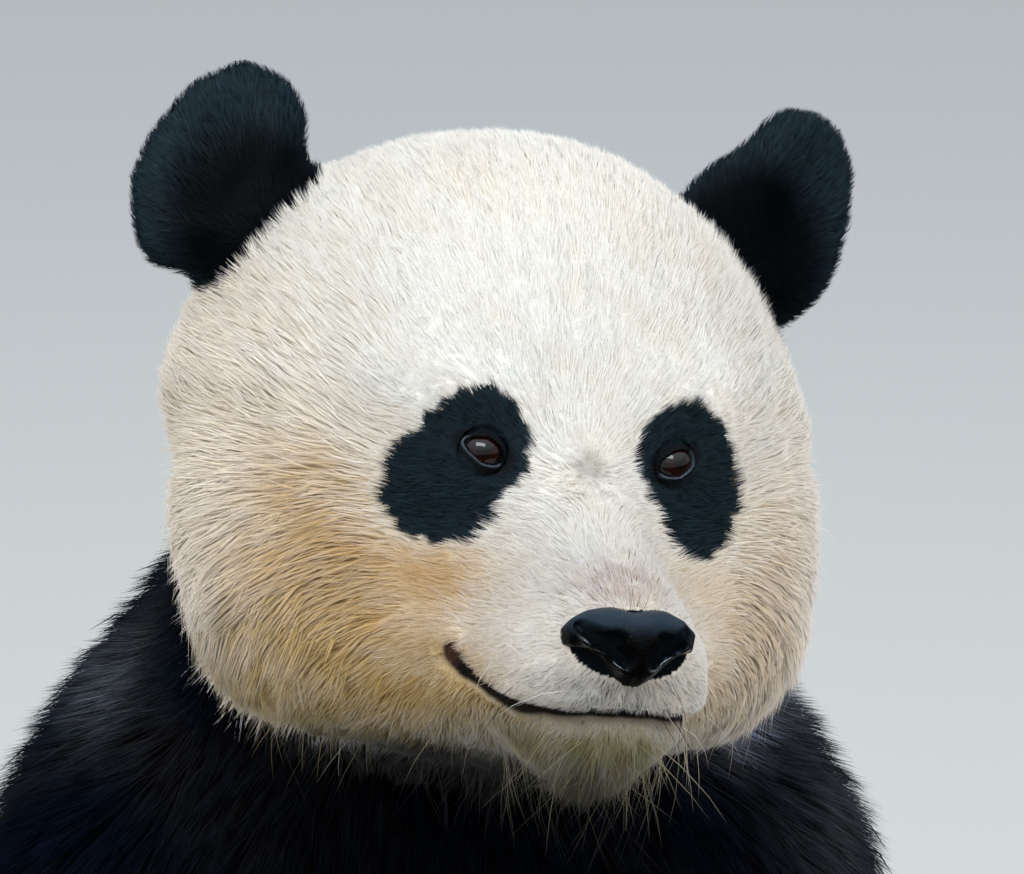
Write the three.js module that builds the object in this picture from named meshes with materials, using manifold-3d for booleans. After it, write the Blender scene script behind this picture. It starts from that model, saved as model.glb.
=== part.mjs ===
// A giant panda sitting on its rump, as a still, life-size model.
// Millimetres, +Z up. The animal faces -Y, so its left side is +X. The floor is z = 0.
//
// Each body form is a distance field: a function of (x, y, z) that is negative inside the form.
// Fields are blended, a net is drawn over the zero surface, and the whole is parted with thin cuts.
// The surfaces stand at the tips of the coat.
import * as THREE from "three";
import { mergeVertices } from "three/addons/utils/BufferGeometryUtils.js";
import Module from "manifold-3d";

const wasm = await Module();
wasm.setup();

// ---- Driving dimensions ------------------------------------------------------------------------

const GAP = 0.4; // clearance between touching pieces
const REGION_GAP = 0.7; // and between limbs and trunk, whose cuts bend
const SLIVER = 0.15; // edges shorter than this are folded after a cut
const SEAM_EDGE = 3; // and up to this length where the surface is flat
const SIDES = { left: 1, right: -1 };

// Head, in its own frame: x to the animal's left, y to the back, z to the crown.
const HEAD_AT = [10, -165, 815];
const HEAD_TURN = { yaw: 7.2, pitch: -16.5, roll: 8.7 }; // degrees: to its left, chin up, left ear down
const HEAD_HALF_WIDTH = 174; // at the cheeks, to the tips of the ruff
const CROWN_HEIGHT = 180;
const CROWN_SHIFT = -4; // the coat of the crown lies over to the right, as in the photo
const EYE = { x: 49, y: -109, z: 9, radius: 11.5 };
const NOSE = { y: -201, z: -84, halfWidth: 34, halfHeight: 19, depth: 23 };
const EAR = { width: 40, height: 63, thickness: 20, outward: 14 };
const EAR_AT = { left: [156, 33, 147], right: [-151, 33, 151] };
const EAR_ROOT = { inward: 27, back: 6, down: 10, radii: [34, 15, 36] }; // where the ear joins the crown
const EAR_LEAN = { left: 12, right: -30 }; // degrees that the long axis leans out from the crown
const MOUTH = { frontY: -235, frontZ: -122, cornerY: -124, cornerZ: -97, cornerX: 50 };

// Trunk and limbs, in the model's frame. Limb points are for the left side.
const SHOULDER = { at: [136, 0, 540], radii: [103, 122, 122] };
const ARM = { top: [150, -15, 530], elbow: [198, -66, 348], wrist: [96, -240, 92] };
const ARM_RADII = { top: 98, elbow: 86, wrist: 68 };
const LEG = { hip: [164, 95, 134], knee: [318, -150, 104], ankle: [334, -345, 70] };
const LEG_RADII = { hip: 138, knee: 104, ankle: 68 };
const FOREPAW = { at: [92, -296, 38], radii: [62, 86, 46] };
const HINDPAW = { at: [348, -396, 108], radii: [60, 44, 108], outward: 14 };
const TAIL = { root: [0, 300, 104], tip: [0, 396, 38], rootRadius: 54, tipRadius: 35 };
const TOES = 5;
const TOE_RADIUS = { fore: 18, hind: 17 };
const CLAW = { length: 36, root: 6.2, droop: 55 }; // droop: degrees that a claw curves through

// Where the trunk and limbs are parted: a point on each cut, and the direction square to it that
// points to the piece named here. Limb cuts are for the left side, at the joint of the bones.
const CUTS = {
  neck: { at: [0, 0, 622], square: [0, -0.42, 0.9] },
  chest: { at: [0, 20, 400], square: [0, -0.2, 0.98] },
  belly: { at: [0, 120, 250], square: [0, -0.8, 0.6] },
  forepaw: { at: ARM.wrist, square: [-0.3, -0.8, -0.5] },
  upper_arm: { at: ARM.elbow, square: [0.25, 0.45, 0.86] },
  hindpaw: { at: LEG.ankle, square: [0, -0.9, 0.25] },
  shin: { at: LEG.knee, square: [0.3, -0.9, -0.1] },
};

// Cell sizes of the nets.
const BODY_CELL = 40;
const REGION_CELL = 72; // for the cuts between limbs and trunk
const HEAD_CELL = 16;
const PAW_CELL = 15.5;
const TAIL_CELL = 24;
const EAR_CELL = 12;
const NOSE_CELL = 8;

const COAT_BLACK = 0x0b0c0e;
const COAT_WHITE = 0xe4dccd;

// ---- Distance fields ---------------------------------------------------------------------------

const mix = (a, b, t) => a + (b - a) * t;
const clamp = (v, low, high) => Math.min(high, Math.max(low, v));
const mirrored = ([x, y, z], side) => [side * x, y, z];
const boxAround = (radii, margin) => [-1, 1].map((sign) => radii.map((r) => sign * (r + 2.4 * margin)));

function ellipsoid([cx, cy, cz], [rx, ry, rz]) {
  return (x, y, z) => {
    const [u, v, w] = [(x - cx) / rx, (y - cy) / ry, (z - cz) / rz];
    const size = Math.hypot(u, v, w);
    const slope = Math.hypot(u / rx, v / ry, w / rz);
    return slope > 1e-9 ? (size * (size - 1)) / slope : -Math.min(rx, ry, rz);
  };
}

// A round bar from a to b whose radius changes evenly.
function bar(a, b, radiusA, radiusB) {
  const [dx, dy, dz] = [b[0] - a[0], b[1] - a[1], b[2] - a[2]];
  const length2 = dx * dx + dy * dy + dz * dz;
  return (x, y, z) => {
    const [px, py, pz] = [x - a[0], y - a[1], z - a[2]];
    const t = clamp((px * dx + py * dy + pz * dz) / length2, 0, 1);
    return Math.hypot(px - t * dx, py - t * dy, pz - t * dz) - mix(radiusA, radiusB, t);
  };
}

// Fields joined with a fillet about as wide as softness.
function blend(softness, ...fields) {
  return (x, y, z) => {
    let d = Infinity;
    for (const field of fields) {
      const e = field(x, y, z);
      const h = Math.max(softness - Math.abs(d - e), 0) / softness;
      d = Math.min(d, e) - (Number.isFinite(h) ? (h * h * softness) / 4 : 0);
    }
    return d;
  };
}

const union = (...fields) => (x, y, z) => Math.min(...fields.map((f) => f(x, y, z)));
const minus = (field, cut) => (x, y, z) => Math.max(field(x, y, z), -cut(x, y, z));

// A field that is drawn in a frame of its own, which matrix carries to the outer frame.
function placed(field, matrix) {
  const e = matrix.clone().invert().elements;
  return (x, y, z) =>
    field(
      e[0] * x + e[4] * y + e[8] * z + e[12],
      e[1] * x + e[5] * y + e[9] * z + e[13],
      e[2] * x + e[6] * y + e[10] * z + e[14],
    );
}

function frameAt([x, y, z], { yaw = 0, pitch = 0, roll = 0 } = {}) {
  const turn = new THREE.Euler(...[pitch, roll, yaw].map(THREE.MathUtils.degToRad), "ZXY");
  return new THREE.Matrix4().makeRotationFromEuler(turn).setPosition(x, y, z);
}

// ---- Nets over fields --------------------------------------------------------------------------

const CORNERS = [0, 1, 2, 3, 4, 5, 6, 7].map((i) => [i & 1, (i >> 1) & 1, (i >> 2) & 1]);
const CELL_EDGES = CORNERS.flatMap((a, i) =>
  [1, 2, 4].filter((step) => !(i & step)).map((step) => [i, i | step]),
);

// Closed net of triangles over field's zero surface inside the box low..high. Its edges are folded
// away while the facets stay within tolerance of the surface, until they reach four cells.
function netOf(field, [low, high], cell, tolerance = 0) {
  const closed = (x, y, z) =>
    Math.max(
      field(x, y, z),
      low[0] + cell - x, x - high[0] + cell,
      low[1] + cell - y, y - high[1] + cell,
      low[2] + cell - z, z - high[2] + cell,
    );
  const counts = low.map((v, i) => Math.ceil((high[i] - v) / cell) + 1);
  const index = (i, j, k) => i + counts[0] * (j + counts[1] * k);
  const value = new Float64Array(counts[0] * counts[1] * counts[2]);
  for (let k = 0; k < counts[2]; k++)
    for (let j = 0; j < counts[1]; j++)
      for (let i = 0; i < counts[0]; i++)
        value[index(i, j, k)] = closed(low[0] + i * cell, low[1] + j * cell, low[2] + k * cell);

  // One point in each cell that the surface crosses.
  const points = [];
  const pointOf = new Int32Array(value.length).fill(-1);
  for (let k = 0; k + 1 < counts[2]; k++)
    for (let j = 0; j + 1 < counts[1]; j++)
      for (let i = 0; i + 1 < counts[0]; i++) {
        const corner = CORNERS.map(([a, b, c]) => value[index(i + a, j + b, k + c)]);
        const crossings = CELL_EDGES.filter(([a, b]) => corner[a] < 0 !== corner[b] < 0);
        if (!crossings.length) continue;
        const sum = [0, 0, 0];
        for (const [a, b] of crossings) {
          const t = corner[a] / (corner[a] - corner[b]);
          for (let axis = 0; axis < 3; axis++) sum[axis] += mix(CORNERS[a][axis], CORNERS[b][axis], t);
        }
        pointOf[index(i, j, k)] = points.length;
        points.push([i, j, k].map((n, axis) => low[axis] + cell * (n + sum[axis] / crossings.length)));
      }

  // One quad around each grid edge that the surface crosses.
  const quads = [];
  for (let k = 1; k + 1 < counts[2]; k++)
    for (let j = 1; j + 1 < counts[1]; j++)
      for (let i = 1; i + 1 < counts[0]; i++)
        for (let axis = 0; axis < 3; axis++) {
          const next = [i, j, k];
          next[axis]++;
          const inside = value[index(i, j, k)] < 0;
          if (inside === value[index(...next)] < 0) continue;
          const [u, v] = [(axis + 1) % 3, (axis + 2) % 3];
          const around = [[1, 1], [0, 1], [0, 0], [1, 0]].map(([a, b]) => {
            const at = [i, j, k];
            at[u] -= a;
            at[v] -= b;
            return pointOf[index(...at)];
          });
          quads.push(inside ? around : around.reverse());
        }

  evened(points, quads, (p) => dropped(closed, p, cell));
  const triangles = split(points, quads);
  if (!tolerance) return solidOf({ points, triangles });
  const longest = 4 * cell;
  const middle = (p, q) => dropped(closed, p.map((v, axis) => (v + q[axis]) / 2), cell);
  const lies = (before, after) => {
    const side = Math.max(...after.map((p, i) => distance(p, after[(i + 1) % 3])));
    const area = areaVector(after).length();
    const thin = area < Math.min(0.12 * side ** 2, areaVector(before).length());
    if (side > 1.5 * longest || thin) return false;
    return Math.abs(closed(...centreOf(after))) < tolerance;
  };
  return solidOf(folded({ points, triangles }, longest, middle, lies));
}

// Spreads the points of a net evenly, and drops each one back onto its surface.
function evened(points, quads, drop) {
  const near = points.map(() => new Set());
  for (const quad of quads)
    quad.forEach((p, i) => near[p].add(quad[(i + 1) % 4]).add(quad[(i + 3) % 4]));
  for (let pass = 0; pass < 4; pass++) {
    const even = points.map((p, i) => {
      const mean = [0, 0, 0];
      for (const n of near[i])
        for (let axis = 0; axis < 3; axis++) mean[axis] += points[n][axis] / near[i].size;
      return p.map((v, axis) => mix(v, mean[axis], 0.5));
    });
    even.forEach((p, i) => (points[i] = drop(p)));
  }
}

// Each quad parted into two triangles along its shorter diagonal, unless that edge is taken.
function split(points, quads) {
  const key = (p, q) => Math.min(p, q) * points.length + Math.max(p, q);
  const taken = new Set(quads.flatMap((quad) => quad.map((p, i) => key(p, quad[(i + 1) % 4]))));
  return quads.flatMap(([a, b, c, d]) => {
    const shorter = distance(points[a], points[c]) < distance(points[b], points[d]);
    const alongAC = taken.has(key(b, d)) || (shorter && !taken.has(key(a, c)));
    taken.add(alongAC ? key(a, c) : key(b, d));
    return alongAC ? [[a, b, c], [a, c, d]] : [[a, b, d], [b, c, d]];
  });
}

// The net with edges up to the longest folded to one point each, shortest first, wherever no facet
// turns over and allowed(before, after) holds for each facet that changes.
function folded({ points, triangles }, longest, middle, allowed = () => true) {
  const facesOf = points.map(() => new Set());
  const faces = triangles.map((corners) => [...corners]);
  faces.forEach((face, f) => face.forEach((p) => facesOf[p].add(f)));
  const neighbours = (p) => new Set([...facesOf[p]].flatMap((f) => faces[f]).filter((q) => q !== p));

  for (let pass = 0, folds = 1; folds && pass < 12; pass++) {
    folds = 0;
    const edges = [];
    faces.forEach((face) =>
      face?.forEach((a, i) => {
        const b = face[(i + 1) % 3];
        const length = distance(points[a], points[b]);
        if (a < b && length < longest) edges.push([length, a, b]);
      }),
    );
    const touched = new Set();
    for (const [, a, b] of edges.sort((p, q) => p[0] - q[0])) {
      if (touched.has(a) || touched.has(b)) continue;
      const aroundB = neighbours(b);
      if ([...neighbours(a)].filter((p) => aroundB.has(p)).length !== 2) continue;
      const target = middle(points[a], points[b]);
      const around = [...new Set([...facesOf[a], ...facesOf[b]])];
      const changed = around.filter((f) => !(faces[f].includes(a) && faces[f].includes(b)));
      const fits = changed.every((f) => {
        const before = faces[f].map((p) => points[p]);
        const after = faces[f].map((p) => (p === a || p === b ? target : points[p]));
        const [n, m] = [areaVector(before), areaVector(after)];
        const sliver = n.length() < SLIVER * Math.max(...before.map((p) => distance(p, before[0])));
        return sliver || (n.dot(m) > 0.7 * n.length() * m.length() && allowed(before, after));
      });
      if (!fits) continue;
      points[a] = target;
      for (const f of around)
        if (changed.includes(f)) {
          faces[f] = faces[f].map((p) => (p === b ? a : p));
          facesOf[a].add(f);
        } else {
          faces[f].forEach((p) => facesOf[p].delete(f));
          faces[f] = null;
        }
      neighbours(a).forEach((p) => touched.add(p));
      touched.add(a);
      folds++;
    }
  }
  return { points, triangles: faces.filter(Boolean) };
}

const centreOf = ([a, b, c]) => a.map((v, axis) => (v + b[axis] + c[axis]) / 3);

function areaVector([a, b, c]) {
  const side = (p) => new THREE.Vector3(p[0] - a[0], p[1] - a[1], p[2] - a[2]);
  return side(b).cross(side(c)).multiplyScalar(0.5);
}

const distance = (p, q) => Math.hypot(p[0] - q[0], p[1] - q[1], p[2] - q[2]);

// The point moved onto the field's zero surface, by at most a third of a cell at a time.
function dropped(field, point, cell) {
  const probe = 0.5;
  let [x, y, z] = point;
  for (let step = 0; step < 3; step++) {
    const d = field(x, y, z);
    const slope = [
      (field(x + probe, y, z) - field(x - probe, y, z)) / (2 * probe),
      (field(x, y + probe, z) - field(x, y - probe, z)) / (2 * probe),
      (field(x, y, z + probe) - field(x, y, z - probe)) / (2 * probe),
    ];
    const steepness = Math.max(slope[0] ** 2 + slope[1] ** 2 + slope[2] ** 2, 0.05);
    const move = clamp(d / steepness, -cell / 3, cell / 3);
    [x, y, z] = [x - move * slope[0], y - move * slope[1], z - move * slope[2]];
  }
  return [x, y, z];
}

// ---- Solids: joining and cutting ---------------------------------------------------------------

function solidOf({ points, triangles }) {
  const number = new Map();
  triangles.flat().forEach((p) => number.has(p) || number.set(p, number.size));
  return new wasm.Manifold(
    new wasm.Mesh({
      numProp: 3,
      vertProperties: new Float32Array([...number.keys()].flatMap((p) => points[p])),
      triVerts: new Uint32Array(triangles.flat().map((p) => number.get(p))),
    }),
  );
}

function netFrom({ attributes, index }) {
  const inThrees = (list) =>
    Array.from({ length: list.length / 3 }, (_, i) => [...list.slice(3 * i, 3 * i + 3)]);
  return { points: inThrees(attributes.position.array), triangles: inThrees(index.array) };
}

function solidFrom(geometry) {
  const plain = geometry.clone();
  plain.deleteAttribute("normal");
  plain.deleteAttribute("uv");
  return solidOf(netFrom(mergeVertices(plain, 1e-3)));
}

function geometryOf(solid) {
  const { vertProperties, triVerts } = solid.getMesh();
  return new THREE.BufferGeometry()
    .setAttribute("position", new THREE.BufferAttribute(vertProperties, 3))
    .setIndex(new THREE.BufferAttribute(triVerts, 1));
}

// The solid without what cuts can leave: edges far shorter than the gap are folded, and points
// where two sheets of the surface touch are drawn a hair apart, each towards its own facets.
function cleaned(solid) {
  const unslivered = folded(netFrom(geometryOf(solid)), SLIVER, (p) => p);
  const flat = (before, after) => areaVector(before).angleTo(areaVector(after)) < 0.012;
  const net = folded(unslivered, SEAM_EDGE, (p) => p, flat);
  const facesOf = new Map();
  for (const face of net.triangles)
    for (const p of face) facesOf.set(p, [...(facesOf.get(p) ?? []), face]);
  const pointAt = new Map();
  for (const [p, faces] of facesOf) {
    const place = net.points[p].map((v) => v.toFixed(2)).join();
    if (pointAt.has(place)) {
      const centre = centreOf(faces[0].map((q) => net.points[q]));
      net.points[p] = net.points[p].map((v, axis) => v + 0.15 * Math.sign(centre[axis] - v));
    }
    pointAt.set(place, p);
  }
  return solidOf(net);
}

// The solid with each vertex moved out along its normal, so that what it cuts stands clear of it.
function grown(solid, by = GAP) {
  const geometry = geometryOf(solid);
  geometry.computeVertexNormals();
  const { position, normal } = geometry.attributes;
  for (let i = 0; i < position.array.length; i++) position.array[i] += by * normal.array[i];
  return solidFrom(geometry);
}

// The largest body of a solid, without the splinters that a cut can leave.
const largest = (solid) => solid.decompose().sort((a, b) => b.volume() - a.volume())[0];

const moved = (solid, matrix) => solid.transform(matrix.elements);

// The two sides of a solid cut through point, square to normal: [ahead of the cut, behind it].
function parted(solid, point, normal) {
  const n = new THREE.Vector3(...normal).normalize();
  const offset = n.dot(new THREE.Vector3(...point));
  return [
    largest(solid.trimByPlane(n.toArray(), offset + GAP / 2)),
    largest(solid.trimByPlane(n.clone().negate().toArray(), -offset + GAP / 2)),
  ];
}

const sideCut = ({ at, square }, side) => [mirrored(at, side), mirrored(square, side)];

const onFloor = (solid) => solid.trimByPlane([0, 0, 1], 0);

// ---- Head --------------------------------------------------------------------------------------

function headField() {
  const pair = ([x, y, z], radii) => [ellipsoid([x, y, z], radii), ellipsoid([-x, y, z], radii)];
  const skull = blend(
    34,
    ellipsoid([CROWN_SHIFT, 38, 32], [HEAD_HALF_WIDTH - 6, 122, CROWN_HEIGHT - 32]),
    ellipsoid([CROWN_SHIFT, -14, 30], [131, 112, CROWN_HEIGHT - 38]), // forehead
    ellipsoid([0, 10, -20], [HEAD_HALF_WIDTH, 112, 122]),
    ellipsoid([0, 80, -4], [146, 96, 136]), // nape
    ellipsoid([8, -42, -86], [104, 102, 59]), // throat, whose hair hangs straight down
    ...pair([88, -4, -69], [64, 74, 60]), // ruff below the cheeks
  );
  const face = blend(
    22,
    ellipsoid([0, -138, -88], [51, 76, 46]), // muzzle
    bar([0, -100, -20], [0, -178, -80], 35, 29), // bridge of the nose
    ellipsoid([2, -140, -123], [41, 49, 32]), // chin
    ...pair([24, -158, -100], [29, 44, 26]), // upper lips
  );
  return blend(26, skull, face, ...pair([54, -84, 42], [44, 36, 24]));
}

function earField(side) {
  const { inward, back, down, radii } = EAR_ROOT;
  const shell = blend(
    10,
    ellipsoid([0, 0, 0], [EAR.width, EAR.thickness, EAR.height]),
    ellipsoid([-side * inward, back, -down], radii),
  );
  const cup = ellipsoid([0, -EAR.thickness - 3, 2], [EAR.width * 0.66, 17, EAR.height * 0.66]);
  return minus(shell, cup);
}

const earFrame = (name, side) =>
  frameAt(EAR_AT[name], { roll: side * EAR_LEAN[name] }).multiply(
    frameAt([0, 0, 0], { yaw: side * EAR.outward }),
  );

function noseSolid() {
  const { halfWidth, halfHeight, depth, y, z } = NOSE;
  const pad = blend(
    12,
    ellipsoid([0, 0, 3], [halfWidth, depth, halfHeight - 3]),
    ellipsoid([0, 0, -halfHeight * 0.45], [halfWidth * 0.55, depth - 3, halfHeight * 0.62]),
  );
  let nose = netOf(pad, boxAround([halfWidth, depth, halfHeight], NOSE_CELL), NOSE_CELL, 0.8);
  for (const side of Object.values(SIDES)) {
    const nostril = new THREE.SphereGeometry(1, 8, 5);
    nostril.scale(11, 14, 6).rotateY((side * Math.PI) / 8);
    nostril.translate(side * halfWidth * 0.48, -depth * 0.92, -2);
    nose = nose.subtract(solidFrom(nostril));
  }
  return moved(largest(nose), frameAt([0, y, z], { pitch: -8 }));
}

function jawCutter() {
  const { frontY, frontZ, cornerY, cornerZ, cornerX } = MOUTH;
  const profile = new THREE.Shape();
  profile.moveTo(frontY, frontZ);
  profile.quadraticCurveTo(mix(frontY, cornerY, 0.6), frontZ - 2, cornerY, cornerZ);
  profile.quadraticCurveTo(cornerY + 12, cornerZ - 12, cornerY + 26, frontZ - 70);
  profile.lineTo(frontY, frontZ - 70);
  const prism = new THREE.ExtrudeGeometry(profile, {
    depth: 2 * cornerX,
    bevelEnabled: false,
    curveSegments: 6,
  });
  // The profile is drawn in y and z, and extruded across the head.
  const across = new THREE.Matrix4().makeBasis(
    new THREE.Vector3(0, 1, 0),
    new THREE.Vector3(0, 0, 1),
    new THREE.Vector3(1, 0, 0),
  );
  return solidFrom(prism.applyMatrix4(across.setPosition(-cornerX, 0, 0)));
}

function eyeball(side, radius = EYE.radius) {
  const ball = new THREE.SphereGeometry(radius, 12, 7).rotateX(Math.PI / 2);
  return solidFrom(ball.translate(side * EYE.x, EYE.y, EYE.z));
}

// Almond-shaped opening of the lids in front of the eyeball.
function lidOpening(side) {
  const opening = new THREE.SphereGeometry(1, 10, 7).scale(14.5, 19, 10.5);
  opening.rotateY(side * -0.32);
  return solidFrom(opening.translate(side * (EYE.x + 1), EYE.y - 13, EYE.z));
}

function headSolids() {
  const box = [[-205, -250, -190], [205, 225, 215]];
  const whole = netOf(headField(), box, HEAD_CELL, 1.75);
  const nose = noseSolid();
  let head = whole.subtract(grown(nose));
  const solids = { nose };
  for (const [name, side] of Object.entries(SIDES)) {
    head = head.subtract(lidOpening(side)).subtract(eyeball(side, EYE.radius + GAP));
    solids[`eye_${name}`] = eyeball(side);
    const earReach = [EAR_ROOT.inward + EAR_ROOT.radii[0], EAR.thickness + 2, EAR.height];
    const ear = netOf(earField(side), boxAround(earReach, EAR_CELL), EAR_CELL, 1.5);
    solids[`ear_${name}`] = largest(moved(ear, earFrame(name, side)).subtract(grown(whole)));
  }
  const cutter = jawCutter();
  solids.lower_jaw = largest(head.intersect(cutter));
  solids.head = largest(head.subtract(grown(cutter)));
  return { whole, solids };
}

// ---- Trunk and limbs ---------------------------------------------------------------------------

const trunkField = blend(
  90,
  ellipsoid([0, 140, 170], [246, 222, 182]), // rump
  ellipsoid([0, 52, 300], [244, 212, 214]), // belly
  ellipsoid([0, 4, 500], [186, 174, 180]), // chest
  bar([0, 52, 580], [0, 150, 300], 154, 198), // back
  bar([0, 22, 600], [0, -62, 742], 172, 142), // neck
);

function armField(side) {
  const at = (p) => mirrored(p, side);
  return blend(
    60,
    ellipsoid(at(SHOULDER.at), SHOULDER.radii),
    bar(at(ARM.top), at(ARM.elbow), ARM_RADII.top, ARM_RADII.elbow),
    bar(at(ARM.elbow), at(ARM.wrist), ARM_RADII.elbow, ARM_RADII.wrist),
    ellipsoid(at(FOREPAW.at), FOREPAW.radii),
  );
}

const hindPawFrame = (side) => frameAt(mirrored(HINDPAW.at, side), { roll: side * HINDPAW.outward });

function legField(side) {
  const at = (p) => mirrored(p, side);
  return blend(
    60,
    ellipsoid(at([152, 116, 140]), [126, 158, 146]), // haunch
    bar(at(LEG.hip), at(LEG.knee), LEG_RADII.hip, LEG_RADII.knee),
    bar(at(LEG.knee), at(LEG.ankle), LEG_RADII.knee, LEG_RADII.ankle),
    placed(ellipsoid([0, 0, 0], HINDPAW.radii), hindPawFrame(side)),
  );
}

const FORMS = {
  arm_left: armField(SIDES.left),
  arm_right: armField(SIDES.right),
  leg_left: legField(SIDES.left),
  leg_right: legField(SIDES.right),
};
const BODY_BOX = [[-480, -540, -60], [480, 540, 960]];

function bodySolid() {
  const limbs = union(...Object.values(FORMS));
  return netOf(blend(70, trunkField, limbs), BODY_BOX, BODY_CELL, 4.4);
}

function tailSolid() {
  const { root, tip, rootRadius, tipRadius } = TAIL;
  const box = [[-80, root[1] - 80, -40], [80, tip[1] + 80, 180]];
  return onFloor(netOf(bar(root, tip, rootRadius, tipRadius), box, TAIL_CELL, 2));
}

// The region that lies nearer to one form than to the trunk or any other form.
function regionOf(name) {
  const own = FORMS[name];
  const others = union(trunkField, ...Object.keys(FORMS).filter((n) => n !== name).map((n) => FORMS[n]));
  const region = (x, y, z) => Math.max(own(x, y, z) - others(x, y, z), own(x, y, z) - 60);
  return netOf(region, BODY_BOX, REGION_CELL);
}

// Place of toe i across the paw, from -1 at the inner toe to 1 at the outer one.
const toeSpread = (i) => (i / (TOES - 1)) * 2 - 1;

function foreToe(side, i) {
  const s = toeSpread(i);
  const [x, y] = FOREPAW.at;
  return {
    at: [side * x + s * (FOREPAW.radii[0] - 19), y - 66 + 20 * s * s, 22],
    aim: [0.22 * s, -1, -0.1],
  };
}

function hindToe(side, i) {
  const s = toeSpread(i);
  const local = new THREE.Vector3(s * (HINDPAW.radii[0] - 17), -6, 84 - 15 * s * s);
  const frame = hindPawFrame(side);
  const aim = new THREE.Vector3(0.2 * s, -0.42, 1).transformDirection(frame);
  return { at: local.applyMatrix4(frame).toArray(), aim: aim.toArray() };
}

function pawSolid(limbField, toes, radius, box) {
  const toeFields = toes.map(({ at, aim }) => {
    const root = at.map((v, axis) => v - 26 * aim[axis]);
    return bar(root, at, radius, radius);
  });
  return onFloor(netOf(blend(14, limbField, union(...toeFields)), box, PAW_CELL, 2.1));
}

// A hooked claw: five-sided rings along an arc, narrowing to a point.
function clawSolid({ at, aim }, down) {
  const [rings, sides] = [3, 5];
  const forward = new THREE.Vector3(...aim).normalize();
  const sink = new THREE.Vector3(...down);
  sink.addScaledVector(forward, -sink.dot(forward)).normalize();
  const across = new THREE.Vector3().crossVectors(sink, forward);
  const arc = THREE.MathUtils.degToRad(CLAW.droop);
  const bend = CLAW.length / arc;
  const start = new THREE.Vector3(...at);
  const positions = [];
  for (let i = 0; i <= rings; i++) {
    const turn = (arc * i) / rings;
    const centre = start
      .clone()
      .addScaledVector(forward, bend * Math.sin(turn))
      .addScaledVector(sink, bend * (1 - Math.cos(turn)));
    const outward = sink.clone().multiplyScalar(Math.cos(turn)).addScaledVector(forward, -Math.sin(turn));
    const radius = CLAW.root * (1 - (i / rings) ** 1.6);
    for (let j = 0; j < (i === rings ? 1 : sides); j++) {
      const a = (2 * Math.PI * j) / sides;
      const p = centre.clone();
      p.addScaledVector(outward, radius * Math.cos(a)).addScaledVector(across, 0.75 * radius * Math.sin(a));
      positions.push(p);
    }
  }
  const tip = positions.length - 1;
  const index = [];
  for (let j = 0; j < sides; j++) {
    const k = (j + 1) % sides;
    if (j > 0 && k > 0) index.push(0, j, k);
    for (let i = 0; i < rings - 1; i++) {
      const [a, b] = [i * sides, (i + 1) * sides];
      index.push(a + j, b + j, b + k, a + j, b + k, a + k);
    }
    index.push((rings - 1) * sides + j, tip, (rings - 1) * sides + k);
  }
  const geometry = new THREE.BufferGeometry().setFromPoints(positions).setIndex(index);
  const solid = solidFrom(geometry);
  return solid.volume() > 0 ? solid : solidFrom(geometry.setIndex(index.reverse()));
}

// Claws that stand out of a paw, cut back to its surface.
function clawSolids(paw, toes, down, name) {
  const cut = grown(paw);
  return Object.fromEntries(
    toes.map((toe, i) => [`claw_${name}_${i + 1}`, largest(onFloor(clawSolid(toe, down).subtract(cut)))]),
  );
}

function armSolids(limb, name, side) {
  const wrist = sideCut(CUTS.forepaw, side);
  const [, upToWrist] = parted(limb, ...wrist);
  const [upper, fore] = parted(upToWrist, ...sideCut(CUTS.upper_arm, side));
  const [x, y] = FOREPAW.at;
  const box = [[side * x - 100, y - 125, -40], [side * x + 100, y + 190, 190]];
  const toes = Array.from({ length: TOES }, (_, i) => foreToe(side, i));
  const [paw] = parted(pawSolid(armField(side), toes, TOE_RADIUS.fore, box), ...wrist);
  return {
    [`upper_arm_${name}`]: upper,
    [`forearm_${name}`]: fore,
    [`forepaw_${name}`]: paw,
    ...clawSolids(paw, toes, [0, 0, -1], `fore_${name}`),
  };
}

function legSolids(limb, name, side) {
  const ankle = sideCut(CUTS.hindpaw, side);
  const [, upToAnkle] = parted(limb, ...ankle);
  const [shin, thigh] = parted(upToAnkle, ...sideCut(CUTS.shin, side));
  const [x, y] = HINDPAW.at;
  const box = [[side * x - 115, y - 100, -50], [side * x + 115, y + 150, 270]];
  const toes = Array.from({ length: TOES }, (_, i) => hindToe(side, i));
  const [paw] = parted(pawSolid(legField(side), toes, TOE_RADIUS.hind, box), ...ankle);
  return {
    [`thigh_${name}`]: thigh,
    [`shin_${name}`]: shin,
    [`hindpaw_${name}`]: paw,
    ...clawSolids(paw, toes, [0, -1, 0], `hind_${name}`),
  };
}

function bodySolids(head) {
  let trunk = onFloor(bodySolid());
  const tail = tailSolid();
  const limbs = {};
  for (const name of Object.keys(FORMS)) {
    const region = regionOf(name);
    limbs[name] = largest(trunk.intersect(region));
    trunk = largest(trunk.subtract(grown(region, REGION_GAP)));
  }
  trunk = largest(trunk.subtract(grown(head)).subtract(grown(tail)));
  const [neck, lower] = parted(trunk, CUTS.neck.at, CUTS.neck.square);
  const [chest, below] = parted(lower, CUTS.chest.at, CUTS.chest.square);
  const [belly, rump] = parted(below, CUTS.belly.at, CUTS.belly.square);
  return {
    neck,
    chest,
    belly,
    rump,
    tail,
    ...armSolids(limbs.arm_left, "left", SIDES.left),
    ...armSolids(limbs.arm_right, "right", SIDES.right),
    ...legSolids(limbs.leg_left, "left", SIDES.left),
    ...legSolids(limbs.leg_right, "right", SIDES.right),
  };
}

// ---- Materials and scene graph -----------------------------------------------------------------

const MATERIALS = {
  black_fur: { color: COAT_BLACK, roughness: 0.85 },
  white_fur: { color: COAT_WHITE, roughness: 0.9 },
  nose_leather: { color: 0x0a0a0b, roughness: 0.35 },
  eye: { color: 0x1c0d08, roughness: 0.05 },
  claw: { color: 0x1e1a17, roughness: 0.4 },
};

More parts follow.
